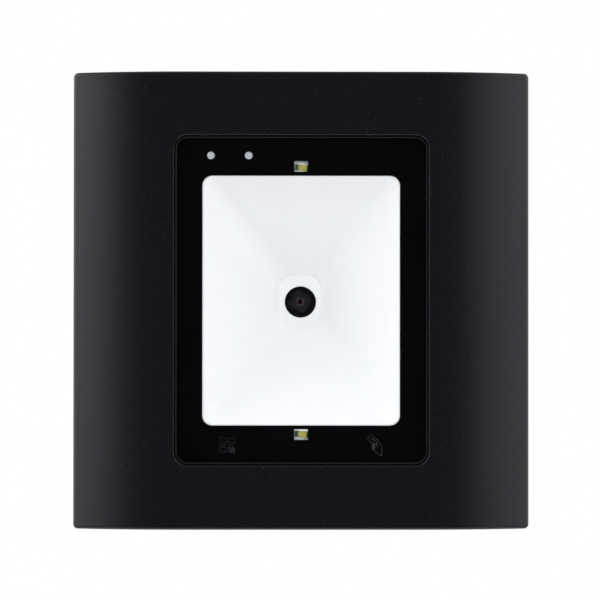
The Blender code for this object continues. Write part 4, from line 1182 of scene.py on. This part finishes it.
# Strength of the studio's light by direction: around the way to the viewer in degrees, and
# across from the left to the right, where the wide soft panels stand
ROUND_STOPS = [
    (0.0, 0.006),
    (22.0, 0.01),
    (45.0, 0.16),
    (60.0, 0.45),
    (85.0, 0.75),
    (110.0, 0.30),
    (180.0, 0.20),
]
BEHIND_STOPS = [(80.0, 0.0), (120.0, 0.60), (180.0, 0.75)]
ACROSS_STOPS = [
    (-1.0, 1.75),
    (-0.76, 1.70),
    (-0.66, 1.24),
    (-0.56, 0.66),
    (-0.47, 0.12),
    (-0.40, 0.0),
    (0.36, 0.0),
    (0.43, 0.18),
    (0.52, 0.52),
    (0.64, 0.80),
    (0.76, 0.90),
    (1.0, 0.90),
]
RISE_STOPS = [(-0.35, 0.12), (-0.12, 0.58), (0.0, 1.05), (0.10, 1.22), (0.35, 1.28)]
PANEL_TILT = 0.06


def ramp(tree, source, stops, low, high):
    """Values by the source's place between low and high, through (place, value) stops."""
    share = node(tree, "ShaderNodeMapRange", From_Min=low, From_Max=high)
    tree.links.new(source, share.inputs["Value"])
    made = node(tree, "ShaderNodeValToRGB")
    elements = made.color_ramp.elements
    elements.remove(elements[0])
    for index, (place, value) in enumerate(stops):
        element = elements[0] if index == 0 else elements.new(1.0)
        element.position = (place - low) / (high - low)
        element.color = (value, value, value, 1.0)
    tree.links.new(share.outputs["Result"], made.inputs["Fac"])
    return made.outputs["Color"]


def maths(tree, operation, first, second):
    made = node(tree, "ShaderNodeMath", operation=operation)
    for socket, value in zip(made.inputs, (first, second)):
        if isinstance(value, float):
            socket.default_value = value
        else:
            tree.links.new(value, socket)
    return made.outputs["Value"]


def along(tree, where, direction):
    made = node(tree, "ShaderNodeVectorMath", operation="DOT_PRODUCT")
    made.inputs[1].default_value = direction
    tree.links.new(where, made.inputs[0])
    return made.outputs["Value"]


def make_world():
    """A white studio, dark in front of the glass, with soft panels left and right of it."""
    world = bpy.data.worlds.new("studio")
    world.use_nodes = True
    bpy.context.scene.world = world
    tree = world.node_tree
    where = node(tree, "ShaderNodeTexCoord").outputs["Generated"]
    turn = maths(tree, "ARCCOSINE", along(tree, where, (0.0, -1.0, 0.0)), 0.0)
    around = ramp(tree, turn, [(math.radians(a), v) for a, v in ROUND_STOPS], 0.0, math.pi)
    across = ramp(tree, along(tree, where, (1.0, 0.0, 0.0)), ACROSS_STOPS, -1.0, 1.0)
    rise = ramp(tree, along(tree, where, (PANEL_TILT, 0.0, 1.0)), RISE_STOPS, -1.0, 1.0)
    panels = maths(tree, "MULTIPLY", across, rise)
    path = node(tree, "ShaderNodeLightPath")
    behind = ramp(tree, turn, [(math.radians(a), v) for a, v in BEHIND_STOPS], 0.0, math.pi)
    behind = maths(tree, "MULTIPLY", behind, path.outputs["Is Diffuse Ray"])
    around = maths(tree, "ADD", around, behind)
    shine = tree.nodes["Background"]
    shine.inputs["Color"].default_value = (1.0, 0.975, 1.0, 1.0)
    tree.links.new(maths(tree, "ADD", around, panels), shine.inputs["Strength"])
    backdrop = node(tree, "ShaderNodeBackground", Color=(1.0, 1.0, 1.0, 1.0), Strength=1.0)
    mix = node(tree, "ShaderNodeMixShader")
    tree.links.new(path.outputs["Is Camera Ray"], mix.inputs[0])
    tree.links.new(shine.outputs["Background"], mix.inputs[1])
    tree.links.new(backdrop.outputs["Background"], mix.inputs[2])
    tree.links.new(mix.outputs["Shader"], tree.nodes["World Output"].inputs["Surface"])


def softbox(name, turn, rise, radiance, size=0.6, distance=1.3):
    """A soft lamp towards the reader from so many degrees right of its front and above it.

    It stands in for the room's fill, so the glass and the polished bezel don't mirror it."""
    data = bpy.data.lights.new(name, "AREA")
    data.size = size
    data.energy = radiance * size * size * math.pi
    lamp = bpy.data.objects.new(name, data)
    bpy.context.scene.collection.objects.link(lamp)
    turn, rise = math.radians(turn), math.radians(rise)
    away = Vector(
        (math.cos(rise) * math.sin(turn), -math.cos(rise) * math.cos(turn), math.sin(rise))
    )
    lamp.location = CAMERA_TARGET + distance * away
    lamp.rotation_mode = "QUATERNION"
    lamp.rotation_quaternion = (-away).to_track_quat("-Z", "Y")
    lamp.visible_camera = False
    lamp.visible_glossy = False
    lamp.visible_transmission = False


make_bezel()
make_glass()
make_film()
make_code_sign()
make_card_sign()
make_reflector()
make_lamp_board()
make_lamp("led_top")
make_lamp("led_bottom")
make_status_lamp("status_led_left", STATUS_PLACES[0])
make_status_lamp("status_led_right", STATUS_PLACES[1])
make_barrel()
make_lens()
make_case()
make_gasket()
for number in range(1, 5):
    make_screw(f"reflector_screw_{number}", 1.8, 1.2)
    make_screw(f"board_screw_{number}", 2.0, 1.4)
    make_screw(f"case_screw_{number}", 2.2, 1.5)
    make_insert(f"panel_insert_{number}")
make_socket()
dress_carried_over()

make_camera()
make_floor()
make_world()
softbox("left_fill", -34.0, 0.0, 0.3)
softbox("right_fill", 34.0, 0.0, 1.8)
softbox("front_fill", 0.0, 0.0, 3.7)
softbox("upper_fill", 0.0, 25.0, 4.5)
bpy.context.scene.view_settings.view_transform = "Standard"
